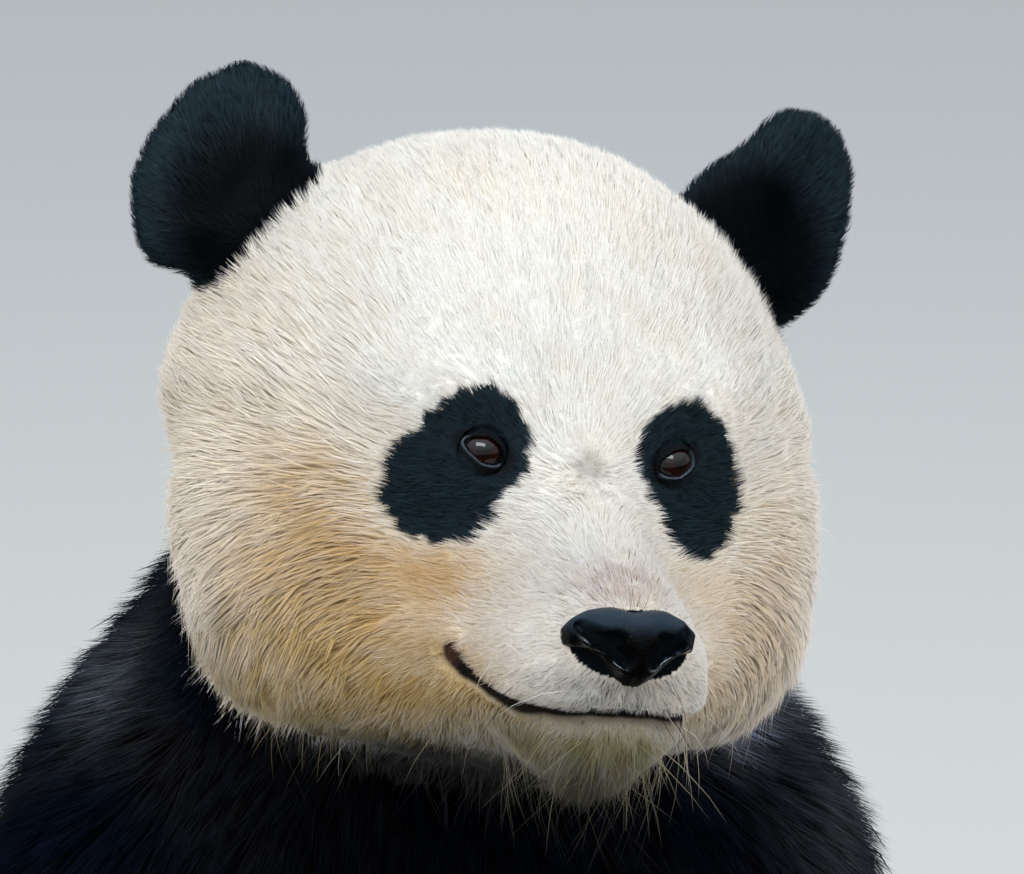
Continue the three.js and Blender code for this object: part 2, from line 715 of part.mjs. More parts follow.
function materialOf(name) {
  const finish = [
    [/^nose/, "nose_leather"],
    [/^eye/, "eye"],
    [/^claw/, "claw"],
    [/^(ear|chest|upper_arm|forearm|forepaw|thigh|shin|hindpaw)/, "black_fur"],
  ].find(([pattern]) => pattern.test(name));
  return new THREE.MeshStandardMaterial({ metalness: 0, ...MATERIALS[finish ? finish[1] : "white_fur"] });
}

function meshesOf(solids) {
  return Object.entries(solids).map(([name, solid]) => {
    const mesh = new THREE.Mesh(geometryOf(cleaned(solid)), materialOf(name));
    mesh.name = name;
    return mesh;
  });
}

const { whole: headWhole, solids: headParts } = headSolids();
const headFrame = frameAt(HEAD_AT, HEAD_TURN);

const head = new THREE.Group();
head.applyMatrix4(headFrame);
head.add(...meshesOf(headParts));

const body = new THREE.Group();
body.add(...meshesOf(bodySolids(moved(headWhole, headFrame))));

// The origin is the middle of the model's footprint, on the floor.
const panda = new THREE.Group();
panda.add(body, head);
panda.updateMatrixWorld(true);
const extent = new THREE.Box3().setFromObject(panda, true);
const middle = extent.getCenter(new THREE.Vector3());
panda.position.set(-middle.x, -middle.y, -extent.min.z);

export default panda;
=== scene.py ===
"""Looks of the giant panda: one skin for the flesh nodes, a coat of solid tufts, eyes, nose, claws.

Metres, in the frame of the CAD: +Z up, the animal faces -Y and its left side is +X. Points on
the head are given in the head's own frame: x to the animal's left, y to the back, z to the crown,
from the middle of the skull.
"""

import math

import bmesh
import bpy
import numpy as np
from mathutils import Matrix, Vector
from mathutils.bvhtree import BVHTree
from mathutils.kdtree import KDTree


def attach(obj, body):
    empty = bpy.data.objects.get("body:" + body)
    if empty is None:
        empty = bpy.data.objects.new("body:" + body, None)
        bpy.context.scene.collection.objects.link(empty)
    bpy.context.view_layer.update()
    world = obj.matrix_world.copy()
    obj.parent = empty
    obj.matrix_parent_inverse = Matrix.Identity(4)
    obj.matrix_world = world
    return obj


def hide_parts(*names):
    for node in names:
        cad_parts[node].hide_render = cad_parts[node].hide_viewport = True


UV_NAME = "OFBake"
SIDES = {"left": 1, "right": -1}

# ---- Driving dimensions ----

HEAD_TURN = {"yaw": 7.2, "pitch": -16.5, "roll": 8.7}  # degrees, as the solids have it
EYE_AT = (0.049, -0.109, 0.009)
EYE_RADIUS = 0.0115
NOSE_TIP = (0, -0.214, -0.078)
NOSE_PAD = (0, -0.205, -0.084)
NOSTRIL = ((0.0095, 0, -0.0075), (0.027, 0, 0.0075))  # from beside the middle, out and up
EAR_BASE = (0.118, 0.03, 0.105)
EAR_INSIDE = (0.136, 0.01, 0.128)
WHORL = (0, -0.125, 0.004)  # where the hair of the face parts, between the eyes
CHIN = (0, -0.15, -0.146)
MOUTH_LINE = [  # from the middle to the corner
    (0, -0.2, -0.119), (0.017, -0.199, -0.1195), (0.039, -0.187, -0.119),
    (0.051, -0.162, -0.116), (0.0555, -0.137, -0.109), (0.059, -0.123, -0.1),
    (0.063, -0.118, -0.0905),
]
MOUTH_WIDTH = (0.002, 0.0056)  # half height of the dark lips, in the middle and near the corner
SCAR = [  # the faint mark on the forehead
    (-0.025, -0.105, 0.122), (-0.005, -0.105, 0.125), (0.01, -0.103, 0.124),
    (0.018, -0.105, 0.112),
]

LEG = [(0.163, 0.102, 0.134), (0.317, -0.143, 0.104), (0.335, -0.39, 0.1)]
ARM = [
    (0.149, -0.008, 0.53), (0.197, -0.059, 0.348), (0.095, -0.233, 0.092),
    (0.091, -0.33, 0.04),
]
SPINE = [(0, -0.055, 0.76), (0, 0.12, 0.4), (0, 0.26, 0.12), (0, 0.4, 0.04)]

SKIN_VOXEL = 0.006
SKIN_SWELL = 0.0008  # closes the thin cuts between the solids before they are joined

FINE_TUFTS = 150000  # straight hair of the head
LONG_TUFTS = 42000  # curved hair of the cheeks and the ruff
NEAR_TUFTS = 42000  # straight hair of the chest and shoulders
BODY_TUFTS = 30000  # curved hair of the rest
WHISKERS = 420
PIECE_TRIANGLES = 190000
PATCH = 0.003  # a tuft's share of the bake's map
ROUNDNESS = 0.3  # how far a tuft's shading turns from the skin's towards its own sides
TIP_TURN = 0.4  # and towards its tip
DROOP = 0.25  # how far loose hair sinks, as a share of its length
ROOT_DEPTH = 0.0012  # tufts start this far inside the skin

LIGHTS = [  # name, direction from the head, distance, width and height, watts, colour
    ("key", (-0.5, -0.85, 1.5), 3.4, (2.3, 2.3), 13, (1, 0.94, 0.86)),
    ("window", (-0.28, -0.62, 1.0), 1.6, (1.3, 0.5), 13, (0.82, 0.92, 1)),
    ("left", (-1.6, -0.5, 0.35), 3.2, (2.0, 2.0), 33, (1, 0.97, 0.92)),
    ("fill", (1.4, -0.9, 0.45), 3.4, (2.1, 2.1), 52, (1, 0.98, 0.94)),
    ("back", (0.2, 1.2, 1.2), 3.2, (1.6, 1.6), 26, (0.95, 0.98, 1)),
]
VIEW = {"azimuth": -12, "elevation": 16, "distance": 4.0}
LENS = 277.0
SHIFT = (0.0065, 0.0435)

rng = np.random.default_rng(20)

# ---- Small tools ----


def unit(v):
    return v / np.maximum(np.linalg.norm(v, axis=-1, keepdims=True), 1e-12)


def step(low, high, x):
    """0 below low, 1 above high, smooth between them."""
    t = np.clip((x - low) / (high - low), 0, 1)
    return t * t * (3 - 2 * t)


def mix(a, b, t):
    t = np.asarray(t)[..., None] if np.ndim(a) > np.ndim(t) or np.ndim(b) > np.ndim(t) else t
    return a + (b - a) * t


def layered(base, *layers):
    """The base mixed with each value in turn, by its share."""
    for value, share in layers:
        base = mix(base, value, share)
    return base


def bell(x, width):
    """1 at x = 0, fading to both sides."""
    return np.exp(-((x / width) ** 2))


def spot(p, centre, radii):
    """1 at centre, fading over the three radii."""
    return np.exp(-(((p - np.array(centre)) / np.array(radii)) ** 2).sum(-1))


def wobble(p, size, seed):
    """Smooth random field about -1 to 1, with features about size across."""
    local = np.random.default_rng(seed)
    total = np.zeros(len(p))
    for _ in range(6):
        wave = local.normal(size=3)
        wave *= 2 * math.pi / size / np.linalg.norm(wave) * local.uniform(0.6, 1.4)
        total += np.sin(p @ wave + local.uniform(0, 2 * math.pi))
    return total / 2.6


def segment(p, a, b):
    """Distance to the line from a to b, and the place along it from 0 to 1."""
    a, b = np.array(a, float), np.array(b, float)
    t = np.clip((p - a) @ (b - a) / ((b - a) @ (b - a)), 0, 1)
    return np.linalg.norm(p - a - t[:, None] * (b - a), axis=1), t


def turn(axis, degrees):
    return np.array(Matrix.Rotation(math.radians(degrees), 3, axis))


# ---- Frame of the head ----

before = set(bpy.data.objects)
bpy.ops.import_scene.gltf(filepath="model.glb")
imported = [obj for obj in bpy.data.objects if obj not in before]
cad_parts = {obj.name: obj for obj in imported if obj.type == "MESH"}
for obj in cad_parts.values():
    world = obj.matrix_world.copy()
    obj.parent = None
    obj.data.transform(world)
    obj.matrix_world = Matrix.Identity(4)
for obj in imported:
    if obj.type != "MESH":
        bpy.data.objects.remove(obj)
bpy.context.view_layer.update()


def corners(node):
    return np.array([v.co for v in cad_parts[node].data.vertices])


HEAD_AXES = turn("Z", HEAD_TURN["yaw"]) @ turn("X", HEAD_TURN["pitch"])
HEAD_AXES = HEAD_AXES @ turn("Y", HEAD_TURN["roll"])
between_eyes = (np.mean(corners("eye_left"), 0) + np.mean(corners("eye_right"), 0)) / 2
HEAD_AT = between_eyes - HEAD_AXES @ np.array([0, EYE_AT[1], EYE_AT[2]])


def to_head(p):
    return (p - HEAD_AT) @ HEAD_AXES


def from_head(h):
    return np.asarray(h) @ HEAD_AXES.T + HEAD_AT


def nearest(tree, points):
    """Nearest surface points, normals and distances."""
    found = [tree.find_nearest(Vector(p)) for p in points]
    place = np.array([f[0] for f in found]).reshape(-1, 3)
    normal = np.array([f[1] for f in found]).reshape(-1, 3)
    return place, normal, np.array([f[3] for f in found])


def node_tree(*names):
    vertices, faces = [], []
    for name in names:
        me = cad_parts[name].data
        faces += [[len(vertices) + i for i in f.vertices] for f in me.polygons]
        vertices += [v.co for v in me.vertices]
    return BVHTree.FromPolygons(vertices, faces)


# ---- Markings and painted light: colours and zones of the coat, shared by the skin and the tufts ----

WHITE = np.array([0.95, 0.905, 0.85])
CREAM = np.array([0.84, 0.71, 0.54])
OCHRE = np.array([0.61, 0.355, 0.1])
GOLD = np.array([0.4, 0.285, 0.085])
AMBER = np.array([0.66, 0.425, 0.13])
UMBER = np.array([0.16, 0.108, 0.014])
# A dark brown of painted shade, for the underside of the chin and jaw.
UNDER_JAW_SHADE = np.array([0.044, 0.035, 0.009])
OLIVE = np.array([0.25, 0.225, 0.036])
GREY = np.array([0.3, 0.285, 0.26])
DUSTY = np.array([0.7, 0.65, 0.585])
PINK = np.array([0.46, 0.33, 0.28])
LID = np.array([0.006, 0.007, 0.008])
# Pale blue of a painted highlight on the wet lower rim of the lids.
PAINTED_LID_GLINT = np.array([0.11, 0.14, 0.18])
# Black with a painted blue sheen of the sky, for the eye patches and the outer ears.
BLACK_WITH_PAINTED_SHEEN = np.array([0.0105, 0.021, 0.027])
LIP = np.array([0.01, 0.008, 0.007])
LIP_CORNER = np.array([0.075, 0.032, 0.02])
LIP_SHADE = np.array([0.06, 0.043, 0.02])
ROOT_STAIN_AND_SHADE = np.array([0.3, 1.0, 2.2])  # hair is painted yellower and darker towards its root: partly its own stain, partly painted warm shade among the hairs
BODY_WHITE = np.array([0.64, 0.585, 0.5])
# Black fur, tinted blue: its own black with a painted sheen of the sky.
BLACK = np.array([0.0008, 0.0022, 0.0038])
BROWN_BLACK = np.array([0.0062, 0.0056, 0.0048])
SMOKE = np.array([0.17, 0.165, 0.135])

ear_tree = node_tree("ear_left", "ear_right")
head_tree = node_tree("head")


def eye_patch(h):
    """Above 0 inside the dark patches around the eyes."""
    x, z = np.abs(h[:, 0]), h[:, 2]
    upper = 1 - np.hypot((x - 0.055) / 0.0265, (z - 0.012) / 0.03)
    lower = 1 - np.hypot((x - 0.068) / 0.0265, (z + 0.007) / 0.03)
    ragged = 0.06 * wobble(h, 0.01, 5)
    return np.where(h[:, 1] < -0.05, np.maximum(upper, lower) + ragged, -1)


def ear_share(p, h):
    """Above 0 on the ears, below 0 on the head around them."""
    share = np.full(len(p), -1.0)
    near = (np.abs(h[:, 0]) > 0.075) & (h[:, 2] > 0.05) & (np.abs(h[:, 1] - 0.03) < 0.08)
    if near.any():
        to_ear = nearest(ear_tree, p[near])[2]
        to_skull = nearest(head_tree, p[near])[2]
        edge = (to_skull - to_ear) / 0.02 + 0.15 + 0.15 * wobble(h[near], 0.012, 4)
        share[near] = np.maximum(edge, (0.0065 - to_ear) / 0.004)
    return share


def limb_share(p, line, radii, side):
    """Above 0 inside a black limb: its depth as a share of the limb's radius."""
    q = p * [side, 1, 1]
    depth = np.full(len(p), -9.0)
    for a, b, ra, rb in zip(line, line[1:], radii, radii[1:]):
        far, t = segment(q, a, b)
        depth = np.maximum(depth, 1 - far / (ra + (rb - ra) * t))
    return depth


def body_black(p):
    """Above 0 where the trunk and limbs are black."""
    ragged = 0.01 * wobble(p, 0.05, 6) + 0.006 * wobble(p, 0.018, 7)
    above = 0.7095 + 0.35 * p[:, 1] - p[:, 2] + ragged  # edge of the white neck
    above = above + 0.12 * np.maximum(step(0.09, -0.02, p[:, 0]), step(0.0, -0.12, p[:, 1]))
    below = p[:, 2] - (0.4 + 0.3 * p[:, 1]) + ragged  # edge of the white belly and back
    black = np.minimum(above, below) / 0.02
    for side in SIDES.values():
        arm = limb_share(p, ARM, (0.165, 0.13, 0.12, 0.13), side)
        leg = limb_share(p, LEG, (0.16, 0.165, 0.16), side)
        black = np.maximum(black, np.minimum(arm * 8, above / 0.02))
        black = np.maximum(black, leg * 8 + ragged / 0.02)
    return black


HEAD_FORMS = [  # masses of the head: centre (x out from the middle line) and radii
    ((0, 0.038, 0.032), (0.176, 0.13, 0.156)),
    ((0, 0.01, -0.02), (0.182, 0.12, 0.138)),
    ((0, 0.08, -0.004), (0.154, 0.104, 0.144)),
    ((0.092, -0.004, -0.072), (0.078, 0.082, 0.072)),
    ((0, -0.046, -0.09), (0.122, 0.112, 0.068)),
    ((0, -0.14, -0.1), (0.08, 0.11, 0.075)),
]


def out_from_middle(h):
    return np.abs(h) * [1, 0, 0] + h * [0, 1, 1]


def head_size(h):
    """Under 1 on the head, more on the trunk."""
    q = out_from_middle(h)
    size = np.min([np.linalg.norm((q - c) / np.array(r), axis=1) for c, r in HEAD_FORMS], 0)
    front = (h[:, 1] < -0.06) & (h[:, 2] > -0.15)
    return np.where((h[:, 2] > 0.03) | front, 0.5, size)


def head_share(h):
    return head_size(h) < 1


FACE_ZONES = [  # centre (x is measured out from the middle line), radii, colour, strength
    ((0.165, 0.01, 0.05), (0.055, 0.1, 0.08), CREAM, 0.55),
    ((0.15, -0.03, -0.02), (0.055, 0.1, 0.06), CREAM, 0.65),
    ((0.062, -0.108, -0.114), (0.032, 0.05, 0.02), GOLD, 0.9),
    ((0.00, 0.17, -0.02), (0.22, 0.16, 0.24), CREAM, 0.5),
    ((0.118, -0.075, -0.055), (0.04, 0.07, 0.03), OCHRE, 0.68),
    ((0.108, -0.09, -0.085), (0.034, 0.06, 0.026), OCHRE, 0.68),
    ((0.074, -0.115, -0.056), (0.028, 0.045, 0.02), OCHRE, 0.75),
    ((0.068, -0.13, -0.098), (0.018, 0.04, 0.02), OCHRE, 0.8),
    # The low side of the ruff, painted darker: golden stain deepened by painted shade.
    ((0.15, -0.02, -0.108), (0.045, 0.08, 0.03), UMBER, 0.75),
    ((0.064, -0.112, -0.05), (0.022, 0.04, 0.014), OCHRE, 0.5),
    # The underside of the jaw and chin and the low ruff, painted darker: golden stain deepened by
    # painted shade, GOLD * 0.72 being a shaded copy of GOLD.
    ((0.095, -0.05, -0.135), (0.075, 0.12, 0.034), UMBER, 0.95),
    ((0.0, -0.1, -0.165), (0.12, 0.12, 0.034), UMBER, 0.95),
    ((0.132, 0.02, -0.128), (0.055, 0.14, 0.038), GOLD * 0.72, 0.9),
    ((0.126, -0.072, -0.018), (0.022, 0.05, 0.03), OCHRE, 0.6),
    ((0.113, -0.08, -0.066), (0.02, 0.05, 0.024), OCHRE * 0.72, 0.68),
    ((0.118, -0.06, -0.092), (0.05, 0.08, 0.026), AMBER, 0.45),
    ((0.078, -0.09, -0.108), (0.028, 0.05, 0.014), AMBER, 0.6),
    ((0.042, -0.15, -0.128), (0.026, 0.05, 0.014), UMBER, 0.8),
    ((0.0, -0.185, -0.134), (0.036, 0.04, 0.011), OLIVE, 0.9),
    # Painted shade under the chin and jaw.
    ((0.0, -0.15, -0.156), (0.09, 0.09, 0.014), UNDER_JAW_SHADE, 0.85),
    ((0.07, -0.05, -0.152), (0.06, 0.08, 0.016), UNDER_JAW_SHADE, 0.85),
    ((0.0, -0.03, 0.15), (0.15, 0.1, 0.06), CREAM, 0.22),
    ((0.0, -0.17, -0.064), (0.06, 0.07, 0.042), DUSTY, 0.8),
    ((0.0, -0.133, 0.004), (0.01, 0.02, 0.01), GREY, 0.8),
    ((0.0, -0.19, -0.056), (0.022, 0.03, 0.012), PINK, 0.6),
    ((0.0, -0.205, -0.108), (0.044, 0.03, 0.013), GREY, 0.52),
]


BODY_ZONES = [  # in the model's frame: centre, radii, colour, strength
    ((-0.178, -0.01, 0.688), (0.026, 0.05, 0.03), SMOKE, 0.9),
    ((0.15, -0.095, 0.652), (0.03, 0.05, 0.016), BODY_WHITE, 0.34),
    ((0.186, -0.05, 0.654), (0.022, 0.05, 0.022), SMOKE, 0.8),
    ((0.208, -0.08, 0.595), (0.034, 0.08, 0.06), SMOKE * 0.22, 0.85),
    # A darker black on the chest under the head: painted shade.
    ((0.000, -0.15, 0.61), (0.15, 0.08, 0.08), BLACK * 0.4, 0.9),
]


def zone(p, centre, radii):
    """1 well inside a zone, fading over its radii."""
    return np.clip(1.25 * spot(p, centre, radii), 0, 1)


def near_mouth(h):
    """Distance over the skin to the line of the mouth, place along it (0 to 1), height above it."""
    far, along, rise = np.full(len(h), 0.1), np.zeros(len(h)), np.zeros(len(h))
    near = (h[:, 1] < -0.09) & (h[:, 2] < -0.06) & (h[:, 2] > -0.16)
    q = out_from_middle(h[near])
    if len(q) and len(mouth["line"]):
        apart, share = np.zeros((2, len(mouth["line"]) - 1, len(q)))
        for k, (a, b, out) in enumerate(zip(mouth["line"], mouth["line"][1:], mouth["out"])):
            level = q - ((q - a) @ out)[:, None] * out
            apart[k], share[k] = segment(level, a, b - ((b - a) @ out) * out)
        first = apart.argmin(0)
        pick = (first, np.arange(len(q)))
        far[near] = apart[pick]
        along[near] = (first + share[pick]) / len(apart)
        heights = mouth["line"][:, 2]
        rise[near] = q[:, 2] - mix(heights[first], heights[first + 1], share[pick])
    return far, along, rise


def eye_frame(side):
    """Axes of an eye as columns: out along the lids, up, and the way that it looks."""
    look = unit(np.array([side * 0.2, -1.0, 0.06]))
    up = unit(np.array([side * -0.2, 0.06, 1.0]))
    across = unit(np.cross(up, look))
    return np.stack([across, np.cross(look, across), look], 1)


def from_eye(h, side):
    """Places out along the lids, up, and out from the middle of the eyeball."""
    return ((h - np.array(EYE_AT) * [side, 1, 1]) @ eye_frame(side)).T


def lid_opening(u, v, side):
    """1 on the edge of the lids, less between them: an almond, pointed at the outer corner."""
    slant = v - 0.16 * u * side - 0.0006
    height = np.where(slant > 0, 0.006, 0.007)
    point = 1 + 0.35 * np.clip(u * side / 0.01, 0, 1)
    return np.hypot(u / 0.0104, slant / height * point)


def around_eye(h, side):
    """lid_opening at each point, 9 behind the eye, and 1 in the part below and outside it."""
    u, v, w = from_eye(h, side)
    opening = np.where(w > 0, lid_opening(u, v, side), 9.0)
    return opening, step(0.002, -0.001, v - 0.5 * u * side)


def lips(h):
    """Distance to the line of the mouth, as a share of the dark lips' half width there."""
    far, along, _ = near_mouth(h)
    width = mix(*MOUTH_WIDTH, step(0.15, 0.7, along) * step(1.25, 0.85, along))
    return far / width, along


mouth = {"line": []}


def lay_mouth(me):
    """Lays the line of the mouth on the skin, from the middle to its corner."""
    line = np.array(MOUTH_LINE)
    fine = [mix(a, b, t) for a, b in zip(line, line[1:]) for t in (0, 0.25, 0.5, 0.75)] + [line[-1]]
    tree = BVHTree.FromPolygons(places(me).tolist(), triangles_of(me).tolist())
    on, out, _ = nearest(tree, from_head(fine))
    mouth["out"] = unit(out @ HEAD_AXES + [0, -0.3, 0])
    mouth["line"] = to_head(on)


def markings_and_painted_light(p, root=None):
    """Colour of the coat at each point, with its painted shade and sheen, how black it is, and
    whether it is on the head.

    Hair that is rooted on the head keeps the head's colours where it hangs over the chest.
    """
    h = to_head(p)
    on_head = head_share(h if root is None else to_head(root))
    q = out_from_middle(h)
    face = np.tile(WHITE, (len(p), 1))
    pale_side = mix(1, 0.38, step(-0.03, 0.05, h[:, 0]))  # the left cheek is less stained
    streaks = 1 + 0.16 * wobble(h, 0.012, 11)
    for centre, radii, colour, strength in FACE_ZONES:
        side = pale_side if centre[0] > 0.02 else 1
        reach = strength * zone(q, centre, radii) * side * streaks
        face = mix(face, colour, np.clip(reach, 0, 1))
    face = mix(face, CREAM, 0.1 * (1 + wobble(p, 0.03, 8)))
    # Darker towards the underside of the head: painted shade under the jaw, down to black at its
    # lowest edge, where its hair hangs over the black chest.
    low = h[:, 2] + 0.018 * spot(h, CHIN, (0.06, 0.05, 0.05))
    painted_jaw_shade = mix(0.95, 0.72, step(0.0, 0.08, h[:, 0]))
    painted_jaw_shade = painted_jaw_shade * mix(1, 0.35, step(0.085, 0.125, np.abs(h[:, 0])))
    edge = step(-0.131, -0.14, low - 0.1 * np.abs(h[:, 0]))
    face = layered(
        face,
        (UNDER_JAW_SHADE, painted_jaw_shade * step(-0.116, -0.142, low)),
        (BROWN_BLACK, painted_jaw_shade * step(-0.136, -0.15, low)),
        (BLACK, 0.96 * edge * step(0.09, 0.05, h[:, 0])),
    )
    scar = np.min([segment(h, a, b)[0] for a, b in zip(SCAR, SCAR[1:])], 0)
    face = mix(face, PINK, 0.4 * step(0.003, 0.001, scar))
    lip, along = lips(h)
    far, _, rise = near_mouth(h)
    lip_colour = mix(np.tile(LIP, (len(p), 1)), LIP_CORNER, step(0.86, 1.0, along))
    face = mix(face, LIP_SHADE, 0.85 * (rise < 0.001) * (1 - step(0.003, 0.01, far)))
    face = mix(face, lip_colour, 1 - step(0.9, 1.4, lip))
    face = mix(face, BLACK, (spot(h, NOSE_PAD, (0.031, 0.03, 0.0175)) > 0.37) * 1.0)
    trunk = mix(np.tile(BODY_WHITE, (len(p), 1)), CREAM * 0.75, 0.25 * (1 + wobble(p, 0.12, 9)))
    dark = mix(np.tile(BLACK, (len(p), 1)), BROWN_BLACK, np.clip(0.5 + wobble(p, 0.1, 10), 0, 1))
    in_ear = np.linalg.norm(q - np.array(EAR_INSIDE), axis=1)
    # The black of the head gets a painted blue sheen of the sky, except near the inside of the ear.
    dark = mix(dark, BLACK_WITH_PAINTED_SHEEN, np.where(on_head, 0.95 * step(0.028, 0.056, in_ear), 0))
    # Inside the ear, a darker black: painted shade in its hollow.
    dark = mix(dark, BLACK * 0.5, step(0.056, 0.028, in_ear) * on_head)
    patch = np.maximum(eye_patch(h) / 0.1, ear_share(p, h) / 0.15)
    black = np.where(on_head, patch, body_black(p))
    weight = step(-0.5, 0.5, black)
    colour = mix(np.where(on_head[:, None], face, trunk), dark, weight)
    for side in SIDES.values():
        opening, below = around_eye(h, side)
        colour = mix(colour, LID, step(2.0, 1.3, opening))
        # A painted highlight: a thin pale blue line on the wet lower rim of the lids.
        colour = mix(colour, PAINTED_LID_GLINT, 0.8 * below * bell(opening - 1.07, 0.06))
    frayed = 0.85 + 0.45 * wobble(p, 0.012, 12)
    for centre, radii, shade, strength in BODY_ZONES:
        reach = strength * frayed * zone(p, centre, radii)
        colour = mix(colour, shade, np.where(on_head, 0, np.clip(reach, 0, 1)))
    return colour, weight, on_head


# ---- Depth of the coat ----


def face_share(h):
    """1 on the short-haired face, 0 from the cheeks back."""
    snout = spot(h, (0, -0.19, -0.09), (0.075, 0.06, 0.055))
    brow = step(-0.02, -0.1, h[:, 1]) * step(0.115, 0.07, np.abs(h[:, 0]))
    return np.clip(np.maximum(1.3 * snout, brow), 0, 1)


def snout_share(h):
    return np.clip(1.6 * spot(h, (0, -0.185, -0.095), (0.07, 0.055, 0.05)), 0, 1)


def ruff_share(h):
    """1 in the long fringe below and beside the cheeks."""
    out = step(0.07, 0.14, np.abs(h[:, 0])) * step(0.03, -0.06, h[:, 2])
    under = step(-0.09, -0.13, h[:, 2]) * step(-0.19, -0.12, h[:, 1])
    return np.maximum(out, 0.8 * under)


def paw_share(p):
    """1 on the feet."""
    fore = step(0.13, 0.07, p[:, 2]) * step(-0.2, -0.27, p[:, 1])
    fore = fore * step(0.2, 0.16, np.abs(p[:, 0]))
    hind = step(-0.3, -0.37, p[:, 1]) * step(0.22, 0.27, np.abs(p[:, 0]))
    return np.maximum(fore, hind)


def coat_depth(p):
    """How far the skin lies inside the tips of the coat."""
    h = to_head(p)
    head = layered(
        0.006,
        (0.0036, face_share(h)),
        (0.0105, ruff_share(h)),
        (0.0025, snout_share(h)),
        (0.002, step(-0.5, 0.3, ear_share(p, h))),
        (0.009, spot(h, NOSE_PAD, (0.026, 0.03, 0.014))),
    )
    trunk = mix(0.026, 0.009, paw_share(p))
    return mix(head, trunk, step(0.92, 1.08, head_size(h)))


# ---- Skin ----


def mesh_of(vertices, faces, name):
    me = bpy.data.meshes.new(name)
    me.from_pydata([tuple(v) for v in vertices], [], [tuple(f) for f in faces])
    me.update()
    return me


def shown(me, name):
    ob = bpy.data.objects.new(name, me)
    bpy.context.scene.collection.objects.link(ob)
    return ob


def joined_nodes(names):
    """One mesh of the nodes, each swollen a little so that neighbours overlap."""
    bm = bmesh.new()
    for name in names:
        part = bmesh.new()
        part.from_mesh(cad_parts[name].data)
        bmesh.ops.remove_doubles(part, verts=part.verts, dist=1e-5)
        part.normal_update()
        for v in part.verts:
            v.co += v.normal * SKIN_SWELL
        me = bpy.data.meshes.new("part")
        part.to_mesh(me)
        part.free()
        bm.from_mesh(me)
        bpy.data.meshes.remove(me)
    me = bpy.data.meshes.new("joined")
    bm.to_mesh(me)
    bm.free()
    return me


def remeshed(me, voxel):
    ob = shown(me, "remesh")
    remesh = ob.modifiers.new("remesh", "REMESH")
    remesh.mode = "VOXEL"
    remesh.voxel_size = voxel
    graph = bpy.context.evaluated_depsgraph_get()
    new = bpy.data.meshes.new_from_object(ob.evaluated_get(graph))
    bpy.data.objects.remove(ob)
    return new


def read(items, name, width, kind):
    """One property of all the items, as rows of the given width."""
    values = np.zeros(len(items) * width, kind)
    items.foreach_get(name, values)
    return values.reshape(-1, width)


def places(me):
    return read(me.vertices, "co", 3, float)


def place(me, co):
    me.vertices.foreach_set("co", co.astype(np.float32).ravel())
    me.update()


def store(me, name, values):
    me.attributes.new(name, "FLOAT", "POINT").data.foreach_set("value", values.astype(np.float32))


def store_colour(me, rgba):
    me.color_attributes.new("coat", "FLOAT_COLOR", "POINT").data.foreach_set("color", rgba.ravel())


def shade_smooth(me):
    me.polygons.foreach_set("use_smooth", np.ones(len(me.polygons), bool))


def dressed(me, mat):
    """The mesh with one material, shaded smooth."""
    me.materials.clear()
    me.materials.append(mat)
    shade_smooth(me)


def normals(me):
    return read(me.vertex_normals, "vector", 3, np.float32).astype(float)


def edges_of(me):
    return read(me.edges, "vertices", 2, np.int32)


def triangles_of(me):
    me.calc_loop_triangles()
    return read(me.loop_triangles, "vertices", 3, np.int32)


def eased(values, edges, times, share=0.5):
    """Values at the vertices, each moved towards the mean of its neighbours."""
    values = values.reshape(len(values), -1).copy()
    degree = np.bincount(edges.ravel(), minlength=len(values))[:, None].clip(1)
    for _ in range(times):
        total = np.zeros_like(values)
        for axis in range(values.shape[1]):
            column = values[:, axis]
            total[:, axis] = np.bincount(edges[:, 0], column[edges[:, 1]], len(values))
            total[:, axis] += np.bincount(edges[:, 1], column[edges[:, 0]], len(values))
        values += share * (total / degree - values)
    return values


def smoothed(me, times):
    """Takes the facets out, and pushes back against the shrinking."""
    co, edges = places(me), edges_of(me)
    for _ in range(times):
        co = eased(co, edges, 1, 0.6)
        co = eased(co, edges, 1, -0.62)
    place(me, co)


def divided(me, wanted):
    """Splits the faces whose middles are wanted into four."""
    bm = bmesh.new()
    bm.from_mesh(me)
    middles = np.array([f.calc_center_median() for f in bm.faces])
    chosen = wanted(middles)
    edges = {e for f, pick in zip(bm.faces, chosen) if pick for e in f.edges}
    bmesh.ops.subdivide_edges(bm, edges=list(edges), cuts=1, use_grid_fill=True)
    bm.to_mesh(me)
    bm.free()


def largest_piece(me):
    """Drops the closed pockets that a remesh can leave inside."""
    edges, n = edges_of(me), len(me.vertices)
    label = np.arange(n)
    while True:
        low = np.minimum(label[edges[:, 0]], label[edges[:, 1]])
        new = label.copy()
        np.minimum.at(new, edges[:, 0], low)
        np.minimum.at(new, edges[:, 1], low)
        new = new[new]
        if (new == label).all():
            break
        label = new
    keep = np.bincount(label).argmax()
    if (label == keep).all():
        return
    bm = bmesh.new()
    bm.from_mesh(me)
    loose = [v for v, piece in zip(list(bm.verts), label) if piece != keep]
    bmesh.ops.delete(bm, geom=loose, context="VERTS")
    bm.to_mesh(me)
    bm.free()


def on_face(p):
    h = to_head(p)
    return (h[:, 1] < -0.07) & (np.abs(h[:, 0]) < 0.1) & head_share(h)


def on_fine_form(p):
    """On the lids and the lips."""
    h = to_head(p)
    near_eye = np.linalg.norm(out_from_middle(h) - EYE_AT, axis=1) < 0.024
    return near_eye | (near_mouth(h)[0] < 0.01)


